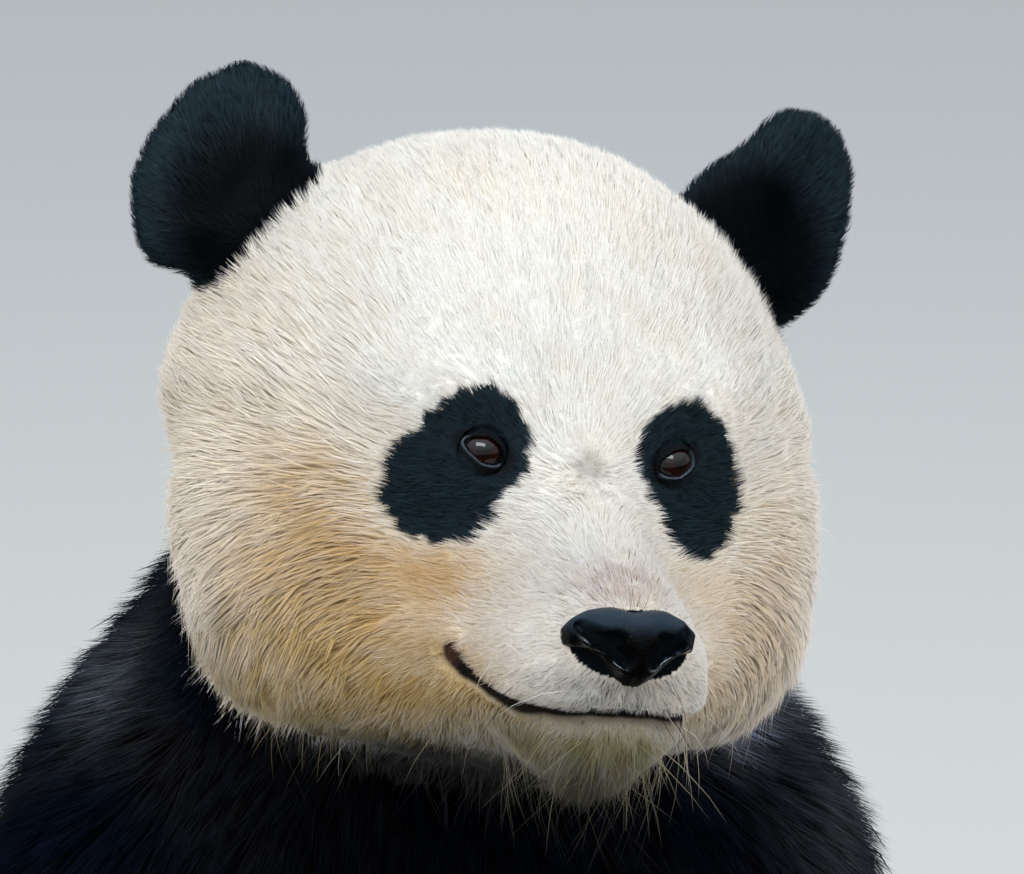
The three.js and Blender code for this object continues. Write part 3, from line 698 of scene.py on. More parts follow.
def skin_mesh(flesh):
    me = remeshed(joined_nodes(flesh), SKIN_VOXEL)
    largest_piece(me)
    smoothed(me, 14)
    co = places(me)
    depth = eased(coat_depth(co), edges_of(me), 6)[:, 0]
    place(me, co - normals(me) * (depth + SKIN_SWELL)[:, None])
    smoothed(me, 4)
    divided(me, lambda p: head_share(to_head(p)))
    smoothed(me, 2)
    divided(me, on_face)
    smoothed(me, 2)
    lay_mouth(me)
    divided(me, on_fine_form)
    smoothed(me, 1)
    co = places(me)
    place(me, np.where((np.arange(3) == 2) & (co < 0.002), 0.002, co))
    return me


# ---- Forms of the face ----


def with_lids(h):
    """Lids laid over each eyeball, open in an almond, with the folds around them."""
    for side in SIDES.values():
        centre = np.array(EYE_AT) * [side, 1, 1]
        axes = eye_frame(side)
        u, v, w = ((h - centre) @ axes).T
        near = (np.hypot(u, v) < 0.034) & (w > -0.004)
        opening = lid_opening(u, v, side)
        over = v > 0.16 * u * side
        ball = np.sqrt(np.maximum((EYE_RADIUS + 0.0011) ** 2 - u ** 2 - v ** 2, 0))
        rim = mix(0.0006, 0.0011, over) * bell(opening - 1.14, 0.16)
        fold = -0.0013 * bell(opening - 1.75, 0.18) * mix(0.3, 1.0, over)
        fold += -0.0006 * bell(opening - 2.3, 0.2)
        ridge = 0.0009 * bell(opening - 2.0, 0.22)
        lid = ball + rim
        wanted = mix(lid, w, step(1.2, 2.6, opening)) + fold + ridge
        wanted = np.maximum(wanted, np.where(ball > 0, ball - 0.0004, w))
        wanted = np.where(opening < 1, np.minimum(ball - 0.0045, w), wanted)
        moved = centre + np.stack([u, v, wanted], 1) @ axes.T
        h = np.where(near[:, None], moved, h)
    return h


def with_mouth(h, n):
    """The dark lips, pressed in under a full upper lip."""
    lip, _ = lips(h)
    far, _, rise = near_mouth(h)
    shape = -0.0042 * bell(lip, 1.15)
    shape += 0.0014 * (rise > 0) * bell(far - 0.0095, 0.004)
    cleft = -0.0022 * spot(h, (0, -0.21, -0.108), (0.0016, 0.03, 0.012))
    return h + n * (shape + cleft)[:, None]


def sculpt_face(me):
    h = with_mouth(to_head(places(me)), normals(me) @ HEAD_AXES)
    h = with_lids(h)
    place(me, from_head(h))


# ---- Coat ----


def parted(p, n, size, strength, seed):
    """Sideways wander of the hair that draws neighbours together into locks."""
    sway = np.stack([wobble(p, size, seed + k) for k in range(3)], 1) * strength
    return sway - (sway * n).sum(1, keepdims=True) * n


def head_lie(p, h):
    """The way that the hair lies on the head, in the model's frame."""
    flow = unit(h - np.array(NOSE_TIP))
    out = h - np.array(WHORL)
    flow = flow + 1.3 * unit(out) * bell(np.linalg.norm(out, axis=1), 0.035)[:, None]
    side = np.sign(h[:, 0])
    ruff = ruff_share(h)[:, None]
    flow = flow + ruff * np.stack([0.4 * side, 0.25 + 0 * side, -1.4 + 0 * side], 1)
    low = step(-0.04, -0.1, h[:, 2]) * ruff[:, 0]
    flow = flow + low[:, None] * np.array([0, 0, -1.8])
    for s in SIDES.values():
        around = h - np.array(EYE_AT) * [s, 1, 1]
        weight = bell(np.linalg.norm(around, axis=1), 0.032)[:, None]
        flow = flow + weight * (0.8 * unit(around) + np.array([0.9 * s, 0.4, -0.1]))
    crown = step(0.1, 0.17, h[:, 2])[:, None]
    flow = flow + crown * np.array([0, 0.8, 0])
    ear = step(-0.3, 0.3, ear_share(p, h))[:, None]
    one = 1 + 0 * side
    from_base = unit(out_from_middle(h) - np.array(EAR_BASE)) * np.stack([side, one, one], 1)
    return mix(flow, from_base, ear[:, 0]) @ HEAD_AXES.T


def body_lie(p):
    """The way that the hair lies: down the trunk from the head, and out along the limbs."""
    flow = np.zeros_like(p)
    lines = [(SPINE, 0.22, 1)]
    for side in SIDES.values():
        lines += [(ARM, 0.09, side), (LEG, 0.11, side)]
    for line, radius, side in lines:
        q = p * [side, 1, 1]
        for a, b in zip(line, line[1:]):
            far, _ = segment(q, a, b)
            along = unit(np.array(b) - np.array(a)) * [side, 1, 1]
            flow += np.exp(-((far / radius) ** 2) * 1.2)[:, None] * along
    return flow + np.array([0, 0, -0.35])


def roots_on(me, count, density):
    """Random places, thick where density is high: faces, shares of their corners, places."""
    co, tris = places(me), triangles_of(me)
    a, b, c = co[tris[:, 0]], co[tris[:, 1]], co[tris[:, 2]]
    area = np.linalg.norm(np.cross(b - a, c - a), axis=1) / 2
    odds = area * density((a + b + c) / 3)
    face = rng.choice(len(tris), count, p=odds / odds.sum())
    r = np.sqrt(rng.random(count))
    s = rng.random(count)
    share = np.stack([1 - r, r * (1 - s), r * s], 1)
    place_at = (co[tris[face]] * share[..., None]).sum(1)
    return face, share, place_at


def spikes(rows, side_of, up_of, widths, flatness=0.45):
    """Closed three-sided spikes: a row of points for each ring, and the last for the tips."""
    count = len(rows[0])
    rings = len(rows) - 1
    per = 3 * rings + 1
    co = np.zeros((count, per, 3))
    for k in range(rings):
        w = widths[k][:, None]
        co[:, 3 * k] = rows[k] - side_of * w / 2
        co[:, 3 * k + 1] = rows[k] + side_of * w / 2
        co[:, 3 * k + 2] = rows[k] + up_of * w * flatness
    co[:, -1] = rows[-1]
    pattern = [(0, 2, 1)]
    for k in range(rings - 1):
        for j in range(3):
            a, b = 3 * k + j, 3 * k + (j + 1) % 3
            pattern += [(a, b, b + 3), (a, b + 3, a + 3)]
    last = 3 * (rings - 1)
    pattern += [(last + j, last + (j + 1) % 3, per - 1) for j in range(3)]
    tris = np.array(pattern)[None] + per * np.arange(count)[:, None, None]
    return co, tris.reshape(-1, 3), per


def tuft_mesh(name, rows, side_of, up_of, widths, colour, shade, uv):
    co, tris, per = spikes(rows, side_of, up_of, widths)
    count = len(co)
    lean = np.array([-ROUNDNESS, ROUNDNESS, 0] * (len(rows) - 1) + [0])
    turned = TIP_TURN * (np.arange(per) // 3) / (len(rows) - 1)
    ahead = unit(rows[-1] - rows[0])[:, None, :] * turned[None, :, None]
    facing = unit(up_of[:, None, :] + lean[None, :, None] * side_of[:, None, :] + ahead)
    me = bpy.data.meshes.new(name)
    me.vertices.add(count * per)
    me.vertices.foreach_set("co", co.astype(np.float32).ravel())
    me.loops.add(tris.size)
    me.loops.foreach_set("vertex_index", tris.astype(np.int32).ravel())
    me.polygons.add(len(tris))
    me.polygons.foreach_set("loop_start", np.arange(len(tris), dtype=np.int32) * 3)
    me.update(calc_edges=True)
    shade_smooth(me)
    ring_of = np.minimum(np.arange(per) // 3, len(rows) - 1)
    along = np.array(shade)[ring_of]
    rgba = np.ones((count, per, 4), np.float32)
    # Each tuft is painted darker and yellower towards its root, most in pale hair: painted shade
    # among the hairs, partly the hair's own yellowing.
    pale = step(0.02, 0.2, colour[:, 1])[:, None, None]
    warmth = 1 + mix(0.9, 2.6, pale) * ((1 - along)[:, None] * ROOT_STAIN_AND_SHADE)[None]
    rgba[..., :3] = np.minimum(colour[:, None, :] ** warmth * along[None, :, None], 0.95)
    store_colour(me, rgba)
    corner = np.stack([np.cos(np.arange(per) * 2.4), np.sin(np.arange(per) * 2.4)], 1) * PATCH / 2
    spread = (uv[:, None, :] + corner[None]).reshape(-1, 2)[tris.ravel()]
    me.uv_layers.new(name=UV_NAME).data.foreach_set("uv", spread.astype(np.float32).ravel())
    me.normals_split_custom_set_from_vertices(facing.reshape(-1, 3))
    return me


class Coat:
    """Tufts rooted on the skin, which follow its surface."""

    def __init__(self, skin):
        self.skin = skin
        self.co = places(skin)
        self.n = normals(skin)
        self.tris = triangles_of(skin)
        self.tree = BVHTree.FromPolygons(self.co.tolist(), self.tris.tolist())
        self.maps = {}

    def unwrap(self, name, wanted):
        """Map of the wanted faces: place of each corner of each triangle in the unit square."""
        middle = self.co[self.tris].mean(1)
        chosen = np.flatnonzero(wanted(middle))
        used, index = np.unique(self.tris[chosen], return_inverse=True)
        me = mesh_of(self.co[used], index.reshape(-1, 3), "map")
        ob = shown(me, "map")
        bpy.context.view_layer.objects.active = ob
        ob.select_set(True)
        bpy.ops.object.mode_set(mode="EDIT")
        bpy.ops.mesh.select_all(action="SELECT")
        bpy.ops.uv.smart_project(angle_limit=math.radians(70), island_margin=0.004)
        bpy.ops.object.mode_set(mode="OBJECT")
        uv = read(me.uv_layers[0].data, "uv", 2, np.float32)
        table = np.zeros((len(self.tris), 3, 2))
        table[chosen] = uv.reshape(-1, 3, 2)
        self.maps[name] = table
        bpy.data.objects.remove(ob)
        bpy.data.meshes.remove(me)

    def rows(self, root, n, lie, length, height, stops, free, droop):
        """Points along each tuft: over the skin at its height, or straight where it hangs free."""
        rows = [root - n * ROOT_DEPTH]
        for s in stops:
            ahead = root + lie * (length * s)[:, None]
            lift = height * (1 - (1 - s) ** 1.7)
            on, up, _ = nearest(self.tree, ahead)
            up = np.where((up * n).sum(1, keepdims=True) > 0.3, up, n)
            held = on + up * lift[:, None]
            sunk = (droop * free * length * s * s)[:, None]
            loose = ahead + n * lift[:, None] + np.array([0, 0, -1]) * sunk
            rows.append(mix(held, loose, free))
        return rows


def gathered(rows, root, stops, size, hold):
    """Draws the tufts together into locks: each towards the nearest of a few leaders."""
    cells = np.floor(root / size[:, None] + rng.random(3)).astype(np.int64)
    order = rng.permutation(len(root))
    _, first = np.unique((cells[order] @ [73856093, 19349663, 83492791]), return_index=True)
    leaders = order[first]
    tree = KDTree(len(leaders))
    for i, at in enumerate(root[leaders]):
        tree.insert(at, i)
    tree.balance()
    leader = leaders[[tree.find(at)[1] for at in root]]
    apart = root[leader] - root
    for k, s in enumerate(stops):
        pull = (hold * s ** 1.3)[:, None]
        rows[k + 1] = rows[k + 1] + pull * (rows[k + 1][leader] - rows[k + 1] - 0.25 * apart)
    return rows, leader


def long_share(h):
    """1 where the hair of the head is long enough to curve."""
    return np.clip(np.maximum(ruff_share(h), 0.45 * cheek_share(h)), 0, 1)


def cheek_share(h):
    """1 on the sides and back of the head, where the hair is of middle length."""
    side = step(0.085, 0.15, np.abs(h[:, 0])) * step(0.1, 0.0, h[:, 2])
    return np.maximum(side, 0.7 * step(0.02, 0.1, h[:, 1]))


def rooted(coat, count, density):
    """Random roots, with the faces they stand on, their shares of the corners, and the normals."""
    face, share, root = roots_on(coat.skin, count, density)
    n = unit((coat.n[coat.tris[face]] * share[..., None]).sum(1))
    return {"face": face, "share": share, "root": root, "n": n}


def head_coat(coat, count, kind):
    """Roots and measures of the tufts of the head."""
    def density(p):
        h = to_head(p)
        front = step(0.1, -0.04, h[:, 1])
        share = long_share(h) if kind == "long" else 1.1 - long_share(h)
        thick = head_share(h) * (0.34 + 0.66 * front) * share
        return thick * (1 + 1.6 * snout_share(h)) * bare_share(h)

    grown = rooted(coat, count, density)
    root = grown["root"]
    h = to_head(root)
    short, cheek, ruff, snout = face_share(h), cheek_share(h), ruff_share(h), snout_share(h)
    ear = step(-0.3, 0.3, ear_share(root, h))
    patch = step(-0.2, 0.2, eye_patch(h))
    chin = spot(h, CHIN, (0.045, 0.05, 0.018))
    behind = step(0.03, 0.11, h[:, 1])
    fringe = mix(0.038, 0.017, step(-0.085, -0.13, h[:, 2]))
    length = layered(0.017, (0.012, short), (0.024, cheek), (0.03, behind), (fringe, ruff))
    length *= 1 - 0.5 * spot(h, WHORL, (0.016, 0.03, 0.016))
    length = layered(length, (0.0068, snout), (0.0095, np.maximum(ear, patch)), (0.032, chin))
    length *= rng.uniform(0.65, 1.2, len(root))
    from_mouth, _, rise = near_mouth(h)
    overhang = 0.002 + 0.9 * from_mouth + 0.6 * (from_mouth - 0.008).clip(0)
    length = np.where(rise > 0, np.minimum(length, overhang), length)
    length = np.minimum(length, 0.002 + 0.5 * eye_gap(h))
    width = layered(0.00075, (0.0006, short), (0.00085, ruff), (0.00048, snout))
    width = layered(width, (0.00095, chin), (0.0018, behind * (1 - ear)))
    width *= rng.uniform(0.7, 1.3, len(root))
    stray = rng.random(len(root)) < 0.05
    loft = mix(0.003, 0.001, np.maximum(short, snout))
    height = (coat_depth(root) + loft) * rng.uniform(0.4, 1.0, len(root))
    height = np.minimum(height, 0.42 * length)
    height = mix(height, 0.35 * length, ear)
    height = mix(height, length * rng.uniform(0.1, 0.5, len(root)), chin)
    height = np.where(stray, np.maximum(height, 0.5 * length), height)
    width = np.where(stray, 0.6 * width, width)
    lock = mix(0.0055, 0.012, np.maximum(ruff, chin))
    hold = mix(0.25, 0.62, np.maximum(ruff, chin))
    return dict(
        grown, lie=head_lie(root, h), length=length, width=width, height=height,
        free=np.maximum(ruff * 0.5, chin * 0.6), lock=lock, hold=hold, droop=DROOP,
        frizz=mix(0.07, 0.19, ruff) + 0.12 * chin, tone=mix(0.07, 0.02, short) + 0.16 * chin,
    )


def bare_share(h):
    """0 where no hair grows: the eyes and their rims, the nose and the line of the mouth."""
    bare = np.ones(len(h))
    for side in SIDES.values():
        u, v, _ = from_eye(h, side)
        bare *= step(1.25, 2.0, lid_opening(u, v, side)) + (h[:, 1] > -0.08)
    bare *= step(0.9, 1.3, lips(h)[0])
    bare *= 1 - (spot(h, NOSE_PAD, (0.029, 0.03, 0.016)) > 0.37)
    return np.clip(bare, 0, 1)


def near_share(p):
    """1 on the chest and shoulders."""
    return step(0.5, 0.6, p[:, 2]) * step(0.16, 0.02, p[:, 1])


def body_coat(coat, count, kind):
    """Roots and measures of the tufts of the trunk and limbs."""
    def density(p):
        off_floor = step(0.004, 0.02, p[:, 2])
        share = near_share(p) if kind == "near" else 1.1 - near_share(p) + 1.5 * paw_share(p)
        return ~head_share(to_head(p)) * share * off_floor

    grown = rooted(coat, count, density)
    root = grown["root"]
    paw, near = paw_share(root), near_share(root)
    length = layered(0.056, (0.02, paw), (0.036, near)) * rng.uniform(0.65, 1.2, len(root))
    width = layered(0.004, (0.0022, paw), (0.0013, near)) * rng.uniform(0.7, 1.3, len(root))
    height = coat_depth(root) * rng.uniform(0.45, 1.1, len(root))
    lock = mix(0.02, 0.01, near)
    hold = mix(0.3, 0.5, near)
    return dict(
        grown, lie=body_lie(root), length=length, width=width, height=height, free=0.15 * near,
        lock=lock, hold=hold, droop=DROOP,
        frizz=np.full(len(root), 0.1), tone=np.full(len(root), 0.08),
    )


def whiskers(coat, count):
    """Loose long hairs of the chin, the lips and the edge of the ruff."""
    def density(p):
        h = to_head(p)
        low = 0.3 * head_share(h) * step(-0.09, -0.13, h[:, 2])
        chin = spot(h, (0, -0.17, -0.137), (0.06, 0.06, 0.016)) + low
        lip_side = 0.08 * spot(out_from_middle(h), (0.04, -0.175, -0.1), (0.02, 0.03, 0.012))
        return (chin + lip_side) * bare_share(h)

    grown = rooted(coat, count, density)
    root = grown["root"]
    h = to_head(root)
    length = 0.012 + 0.034 * rng.random(len(root)) ** 1.6
    lie = head_lie(root, h) + rng.normal(0, 0.7, root.shape) + np.array([0, 0, -0.3])
    same = np.ones(len(root))
    return dict(
        grown, lie=lie, length=length, width=0.00042 * same, height=0.45 * length, free=same,
        lock=0.01 * same, hold=0 * same, frizz=0.1 * same, tone=0 * same, droop=0.5,
    )


def eye_gap(h):
    """Distance from the edge of the nearer eye's lids, 0.1 away from the face."""
    gap = np.full(len(h), 0.1)
    for side in SIDES.values():
        u, v, _ = from_eye(h, side)
        around = (lid_opening(u, v, side) - 1).clip(0) * 0.0075
        gap = np.where(h[:, 1] < -0.08, np.minimum(gap, around), gap)
    return gap


def speckled(colour, h, on_head):
    """Dark hairs among the pale ones of the upper lip and above the nose."""
    lip = 0.28 * spot(h, (0, -0.205, -0.107), (0.04, 0.03, 0.012))
    bridge = 0.12 * spot(h, (0, -0.2, -0.06), (0.03, 0.03, 0.016))
    dark = on_head & (rng.random(len(h)) < lip + bridge)
    return np.where(dark[:, None], colour * 0.16, colour)


def grow(coat, tufts, kind, stops, shade, map_name):
    """Pieces of coat made from the measures of its tufts, split by colour and by size."""
    face, share, root, n, lie = (tufts[key] for key in ("face", "share", "root", "n", "lie"))
    length, width, height = tufts["length"], tufts["width"], tufts["height"]
    lie = lie - (lie * n).sum(1, keepdims=True) * n
    lie = unit(lie) + parted(root, n, 0.014, 0.22, 30) + parted(root, n, 0.005, 0.1, 40)
    lie = unit(lie + rng.normal(0, 1, lie.shape) * tufts["frizz"][:, None])
    lie = unit(lie - (lie * n).sum(1, keepdims=True) * n)
    rows = coat.rows(root, n, lie, length, height, stops, tufts["free"], tufts["droop"])
    rows, leader = gathered(rows, root, stops, tufts["lock"], tufts["hold"])
    rows = [np.maximum(r, [-9, -9, 0.001]) for r in rows]
    side_of = unit(np.cross(n, lie))
    taper = [1.0, 0.9, 0.6][: len(stops)]
    colour, weight, on_head = markings_and_painted_light(root + lie * (0.6 * length)[:, None], root)
    lock_tone = 0.98 + rng.uniform(-1, 1, len(root))[leader] * tufts["tone"]
    own_tone = mix(rng.uniform(0.94, 1.05, len(root)), rng.uniform(0.25, 1.8, len(root)), weight)
    colour = colour * (lock_tone * own_tone)[:, None]
    colour = speckled(colour, to_head(root), on_head)
    uv = (coat.maps[map_name][face] * share[..., None]).sum(1)
    per_tuft = 6 * len(stops) - 2
    for tone, chosen in (("white", weight < 0.5), ("black", weight >= 0.5)):
        ids = np.flatnonzero(chosen)
        parts = math.ceil(len(ids) * per_tuft / PIECE_TRIANGLES)
        for k in range(parts):
            pick = ids[k::parts]
            name = f"coat_{tone}_{kind}_{k + 1}"
            rising = [r[pick] for r in rows]
            widths = [width[pick] * t for t in taper]
            me = tuft_mesh(
                name, rising, side_of[pick], n[pick], widths, colour[pick], shade, uv[pick]
            )
            ob = shown(me, name)
            me.materials.append(FUR[tone])
            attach(ob, "root")


# ---- Materials ----


# Colours along a ramp.
NOSE_STOPS = [  # by how pale the leather is painted: up to 0.7 a painted sheen of the sky on its top, 1 a painted glint on the wet rims
    (0.0, (0.001, 0.0011, 0.0014)),
    (0.7, (0.016, 0.028, 0.042)),
    (1.0, (0.085, 0.13, 0.19)),
]
EYE_STOPS = [  # from the middle of the eye out: pupil, iris, its dark edge, white
    (0.0, (0.0004, 0.0003, 0.0003)),
    (0.14, (0.001, 0.0005, 0.0004)),
    (0.26, (0.0105, 0.002, 0.001)),
    (0.44, (0.008, 0.0016, 0.0008)),
    (0.51, (0.001, 0.0007, 0.0007)),
    (0.66, (0.012, 0.01, 0.01)),
]
CLAW_STOPS = [(0.0, (0.012, 0.01, 0.009)), (1.0, (0.085, 0.07, 0.055))]
SKY_STOPS = [  # from straight below to straight above; 0.5 is the horizon
    (0.0, (0.02, 0.02, 0.02)),
    (0.46, (0.03, 0.03, 0.03)),
    (0.5, (0.34, 0.35, 0.36)),
    (0.68, (0.4, 0.42, 0.44)),
    (0.8, (0.74, 0.81, 0.88)),
    (1.0, (0.84, 0.92, 0.98)),
]


def material(name, **sockets):
    mat = bpy.data.materials.new(name)
    mat.use_nodes = True
    shader = mat.node_tree.nodes["Principled BSDF"]
    for socket, value in sockets.items():
        shader.inputs[socket.replace("_", " ")].default_value = value
    return mat, mat.node_tree, shader


def node(tree, kind, links=(), **settings):
    """A node with its settings, sockets set by 'in_NAME', and links from outputs."""
    new = tree.nodes.new(f"ShaderNode{kind}")
    for key, value in settings.items():
        if key.startswith("in_"):
            new.inputs[key[3:].replace("_", " ")].default_value = value
        else:
            setattr(new, key, value)
    for source, socket in links:
        tree.links.new(source, new.inputs[socket])
    return new


def colour_stops(ramp, stops):
    elements = ramp.color_ramp.elements
    while len(elements) < len(stops):
        elements.new(0.5)
    for element, (at, colour) in zip(elements, stops):
        element.position = at
        element.color = (*colour, 1)


def colour_by(tree, shader, value, stops):
    ramp = node(tree, "ValToRGB", [(value, "Fac")])
    colour_stops(ramp, stops)
    tree.links.new(ramp.outputs[0], shader.inputs["Base Color"])


def texture(tree, kind, **settings):
    """A texture in the object's own coordinates: its first output."""
    place_at = node(tree, "TexCoord")
    return node(tree, kind, [(place_at.outputs["Object"], "Vector")], **settings).outputs[0]


def roughen(tree, shader, height, strength, distance):
    bump = node(tree, "Bump", [(height, "Height")], in_Strength=strength, in_Distance=distance)
    tree.links.new(bump.outputs[0], shader.inputs["Normal"])


def dye(tree, shader, strands, low, high):
    """The stored colour of the coat, made darker and lighter along fine strands."""
    colour = node(tree, "Attribute", attribute_name="coat")
    tone = node(tree, "MapRange", [(strands, "Value")], in_To_Min=low, in_To_Max=high)
    links = [(colour.outputs["Color"], 0), (tone.outputs[0], 1)]
    dyed = node(tree, "VectorMath", links, operation="MULTIPLY")
    tree.links.new(dyed.outputs[0], shader.inputs["Base Color"])


def fur_material(name, roughness, gloss, sheen):
    mat, tree, shader = material(
        name, Roughness=roughness, Specular_IOR_Level=gloss, Sheen_Weight=sheen
    )
    strands = texture(tree, "TexNoise", in_Scale=900.0, in_Detail=3.0)
    dye(tree, shader, strands, 0.82, 1.16)
    roughen(tree, shader, strands, 0.25, 0.0004)
    return mat


def skin_material():
    mat, tree, shader = material("skin", Roughness=0.8, Specular_IOR_Level=0.1)
    fibres = texture(tree, "TexNoise", in_Scale=420.0, in_Detail=4.0)
    dye(tree, shader, fibres, 0.74, 1.06)
    roughen(tree, shader, fibres, 0.5, 0.002)
    return mat


def nose_material():
    """Pebbled black leather, wet on the rims of the nostrils, with a painted sheen of the sky on
    its top and painted glints on the rims.
    """
    mat, tree, shader = material("nose_leather", Roughness=0.42)
    pale = node(tree, "Attribute", attribute_name="pale")
    colour_by(tree, shader, pale.outputs["Fac"], NOSE_STOPS)
    wet = node(tree, "Attribute", attribute_name="wet")
    rough = node(tree, "MapRange", [(wet.outputs["Fac"], "Value")], in_To_Min=0.44, in_To_Max=0.16)
    gloss = node(tree, "MapRange", [(wet.outputs["Fac"], "Value")], in_To_Min=0.08, in_To_Max=1.0)
    shader.inputs["Coat Roughness"].default_value = 0.14
    tree.links.new(wet.outputs["Fac"], shader.inputs["Coat Weight"])
    tree.links.new(rough.outputs[0], shader.inputs["Roughness"])
    tree.links.new(gloss.outputs[0], shader.inputs["Specular IOR Level"])
    roughen(tree, shader, texture(tree, "TexVoronoi", in_Scale=700.0), 0.6, 0.0005)
    return mat


def eye_material():
    mat, tree, shader = material("eye", Roughness=0.03, Specular_IOR_Level=0.65)
    out = node(tree, "Attribute", attribute_name="off_axis")
    colour_by(tree, shader, out.outputs["Fac"], EYE_STOPS)
    return mat


def claw_material():
    mat, tree, shader = material("claw", Roughness=0.35, Coat_Weight=0.3)
    grain = texture(tree, "TexNoise", in_Scale=260.0, in_Detail=5.0)
    colour_by(tree, shader, grain, CLAW_STOPS)
    roughen(tree, shader, grain, 0.3, 0.0005)
    return mat


FUR = {
    "white": fur_material("white_fur", 0.65, 0.18, 0.05),
    "black": fur_material("black_fur", 0.45, 0.05, 0.0),
}


# ---- Eyes, nose, claws ----


def add_eyes():
    mat = eye_material()
    for name, side in SIDES.items():
        bm = bmesh.new()
        bmesh.ops.create_uvsphere(bm, u_segments=64, v_segments=40, radius=EYE_RADIUS)
        me = bpy.data.meshes.new(f"eyeball_{name}")
        bm.to_mesh(me)
        bm.free()
        axes = eye_frame(side)
        local = places(me)
        off_axis = np.arccos(np.clip(local[:, 2] / EYE_RADIUS, -1, 1)) / (math.pi / 2)
        bulge = 1 + 0.025 * np.cos(np.clip(off_axis / 0.45, 0, 1) * math.pi / 2) ** 2
        centre = np.array(EYE_AT) * [side, 1, 1]
        place(me, from_head(centre + (local * bulge[:, None]) @ axes.T))
        store(me, "off_axis", off_axis)
        dressed(me, mat)
        ob = shown(me, f"eyeball_{name}")
        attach(ob, "root")
        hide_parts(f"eye_{name}")


def nostril_rim(q):
    """1 on the rim below a nostril; q is measured from the nose's middle, and out from its line."""
    below, _ = segment(q * [1, 0, 1] + np.array([0.001, 0, 0.0065]), NOSTRIL[0], NOSTRIL[1])
    return bell(below, 0.0025)


def with_nostrils(h):
    """Long openings that run out and up from beside the middle, each over a full rim."""
    q = out_from_middle(h) - np.array(NOSE_PAD)
    far, along = segment(q * [1, 0, 1], NOSTRIL[0], NOSTRIL[1])
    width = mix(0.0056, 0.003, along)
    front = q[:, 1] < 0.004
    inward = -0.0095 * np.exp(-((far / width) ** 3)) + 0.0032 * nostril_rim(q)
    cleft = -0.0016 * bell(q[:, 0], 0.001) * step(-0.004, -0.012, q[:, 2])
    dip = -0.003 * bell(q[:, 0], 0.009) * step(0.008, 0.018, q[:, 2])
    tuck = 0.44 * (q[:, 0] - 0.004).clip(0) * step(0.0, -0.016, q[:, 2])  # the V below
    moved = h - np.array([0, 1, 0]) * (front * (inward + cleft))[:, None]
    return moved + np.array([0, 0, 1]) * (dip + tuck)[:, None]


def add_nose():
    me = remeshed(joined_nodes(["nose"]), 0.001)
    smoothed(me, 10)
    place(me, eased(places(me), edges_of(me), 4))
    wet = nostril_rim(out_from_middle(to_head(places(me))) - np.array(NOSE_PAD))
    wet *= step(-0.4, 0.4, wobble(places(me), 0.007, 13) + 0.2)
    place(me, from_head(with_nostrils(to_head(places(me)))))
    store(me, "wet", wet)
    # Painted light on the leather: a blue sheen of the sky on its top, and pale glints in spots on
    # the wet rims.
    painted_top_sheen = 0.7 * step(0.002, 0.014, (to_head(places(me)) - np.array(NOSE_PAD))[:, 2])
    painted_glints = step(0.55, 0.95, wet) * step(0.0, 0.5, wobble(places(me), 0.0025, 14))
    store(me, "pale", np.maximum(painted_top_sheen, painted_glints))
    place(me, eased(places(me), edges_of(me), 2))
    dressed(me, nose_material())
    ob = shown(me, "nose_pad")
    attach(ob, "root")
    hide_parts("nose")


def finish_claws():
    mat = claw_material()
    for name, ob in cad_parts.items():
        if name.startswith("claw"):
            dressed(ob.data, mat)


# ---- Stage ----


def add_floor():
    bpy.ops.mesh.primitive_circle_add(vertices=96, radius=30, fill_type="NGON")
    floor = bpy.context.object
    floor.name = "floor"
    mat, _, shader = material("floor", Roughness=0.9)
    shader.inputs["Base Color"].default_value = (0.6, 0.6, 0.585, 1)
    floor.data.materials.append(mat)
    floor.visible_glossy = False  # the eyes mirror the dark lower half of the world instead


def add_light(name, direction, distance, size, energy, colour):
    data = bpy.data.lights.new(name, "AREA")
    data.shape = "RECTANGLE"
    data.size, data.size_y = size
    data.energy = energy
    data.color = colour
    light = bpy.data.objects.new(name, data)
    aim = Vector(HEAD_AT)
    light.location = aim + Vector(direction).normalized() * distance
    light.rotation_euler = (light.location - aim).to_track_quat("Z", "Y").to_euler()
    light.visible_glossy = name == "window"  # the one that shows in the eyes and on the wet nose
    bpy.context.scene.collection.objects.link(light)


def add_camera():
    a, e = math.radians(VIEW["azimuth"]), math.radians(VIEW["elevation"])
    toward = Vector((math.sin(a) * math.cos(e), -math.cos(a) * math.cos(e), math.sin(e)))
    data = bpy.data.cameras.new("camera")
    data.lens = LENS
    data.shift_x, data.shift_y = SHIFT
    camera = bpy.data.objects.new("camera", data)
    camera.location = Vector(HEAD_AT) + toward * VIEW["distance"]
    camera.rotation_euler = toward.to_track_quat("Z", "Y").to_euler()
    bpy.context.scene.collection.objects.link(camera)
    bpy.context.scene.camera = camera


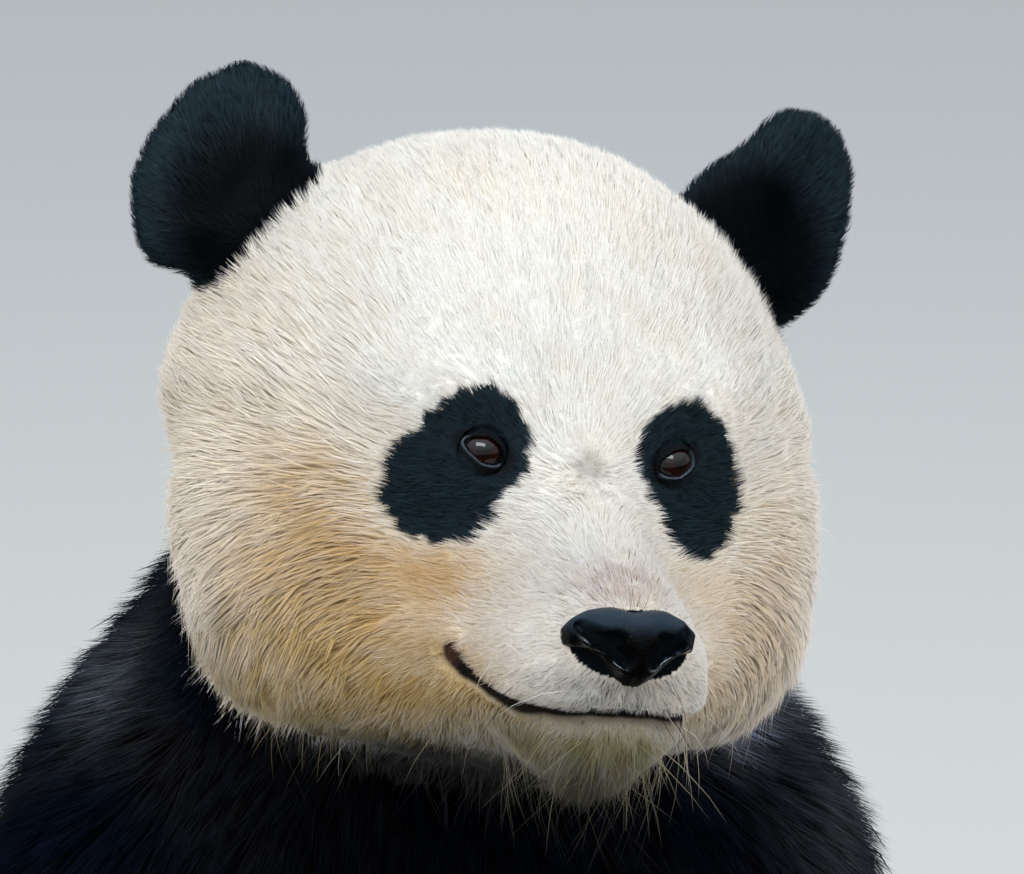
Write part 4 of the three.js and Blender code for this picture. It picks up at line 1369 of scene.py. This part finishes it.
def add_stage():
    add_floor()
    add_camera()
    for light in LIGHTS:
        add_light(*light)
    world = bpy.data.worlds.new("world")
    world.use_nodes = True
    tree = world.node_tree
    way = node(tree, "TexCoord")
    parts = node(tree, "SeparateXYZ", [(way.outputs["Generated"], "Vector")])
    links = [(parts.outputs["Z"], "Value")]
    height = node(tree, "MapRange", links, in_From_Min=-1.0, in_From_Max=1.0)
    ramp = node(tree, "ValToRGB", [(height.outputs[0], "Fac")])
    colour_stops(ramp, SKY_STOPS)
    tree.links.new(ramp.outputs[0], tree.nodes["Background"].inputs["Color"])
    bpy.context.scene.world = world
    bpy.context.scene.view_settings.view_transform = "Standard"


# ---- The model ----


def add_skin():
    apart = ("claw", "eye")
    flesh = [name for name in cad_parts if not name.startswith(apart)]
    me = skin_mesh(flesh + ["eye_left", "eye_right"])
    sculpt_face(me)
    colour, _, _ = markings_and_painted_light(places(me))
    rgba = np.ones((len(colour), 4), np.float32)
    rgba[:, :3] = colour
    store_colour(me, rgba)
    dressed(me, skin_material())
    ob = shown(me, "skin")
    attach(ob, "root")
    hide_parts(*[name for name in flesh if name != "nose"])
    return me


skin = add_skin()
add_eyes()
add_nose()
finish_claws()
coat = Coat(skin)
coat.unwrap("head", lambda p: head_share(to_head(p)))
coat.unwrap("body", lambda p: ~head_share(to_head(p)))
# The measures of each kind of tuft, then its name, stops along it, its painted shade there (darker
# towards the root and lighter at the tip, for the shade among the hairs), and map.
grow(coat, head_coat(coat, FINE_TUFTS, "fine"), "fine", (1.0,), (0.88, 1.04), "head")
grow(coat, head_coat(coat, LONG_TUFTS, "long"), "long", (0.5, 1.0), (0.88, 0.99, 1.06), "head")
loose = whiskers(coat, WHISKERS)
grow(coat, loose, "whiskers", (0.35, 0.7, 1.0), (1.0, 1.0, 1.0, 1.0), "head")
grow(coat, body_coat(coat, NEAR_TUFTS, "near"), "near", (1.0,), (0.8, 1.1), "body")
grow(coat, body_coat(coat, BODY_TUFTS, "body"), "body", (0.5, 1.0), (0.7, 1.0, 1.1), "body")
add_stage()
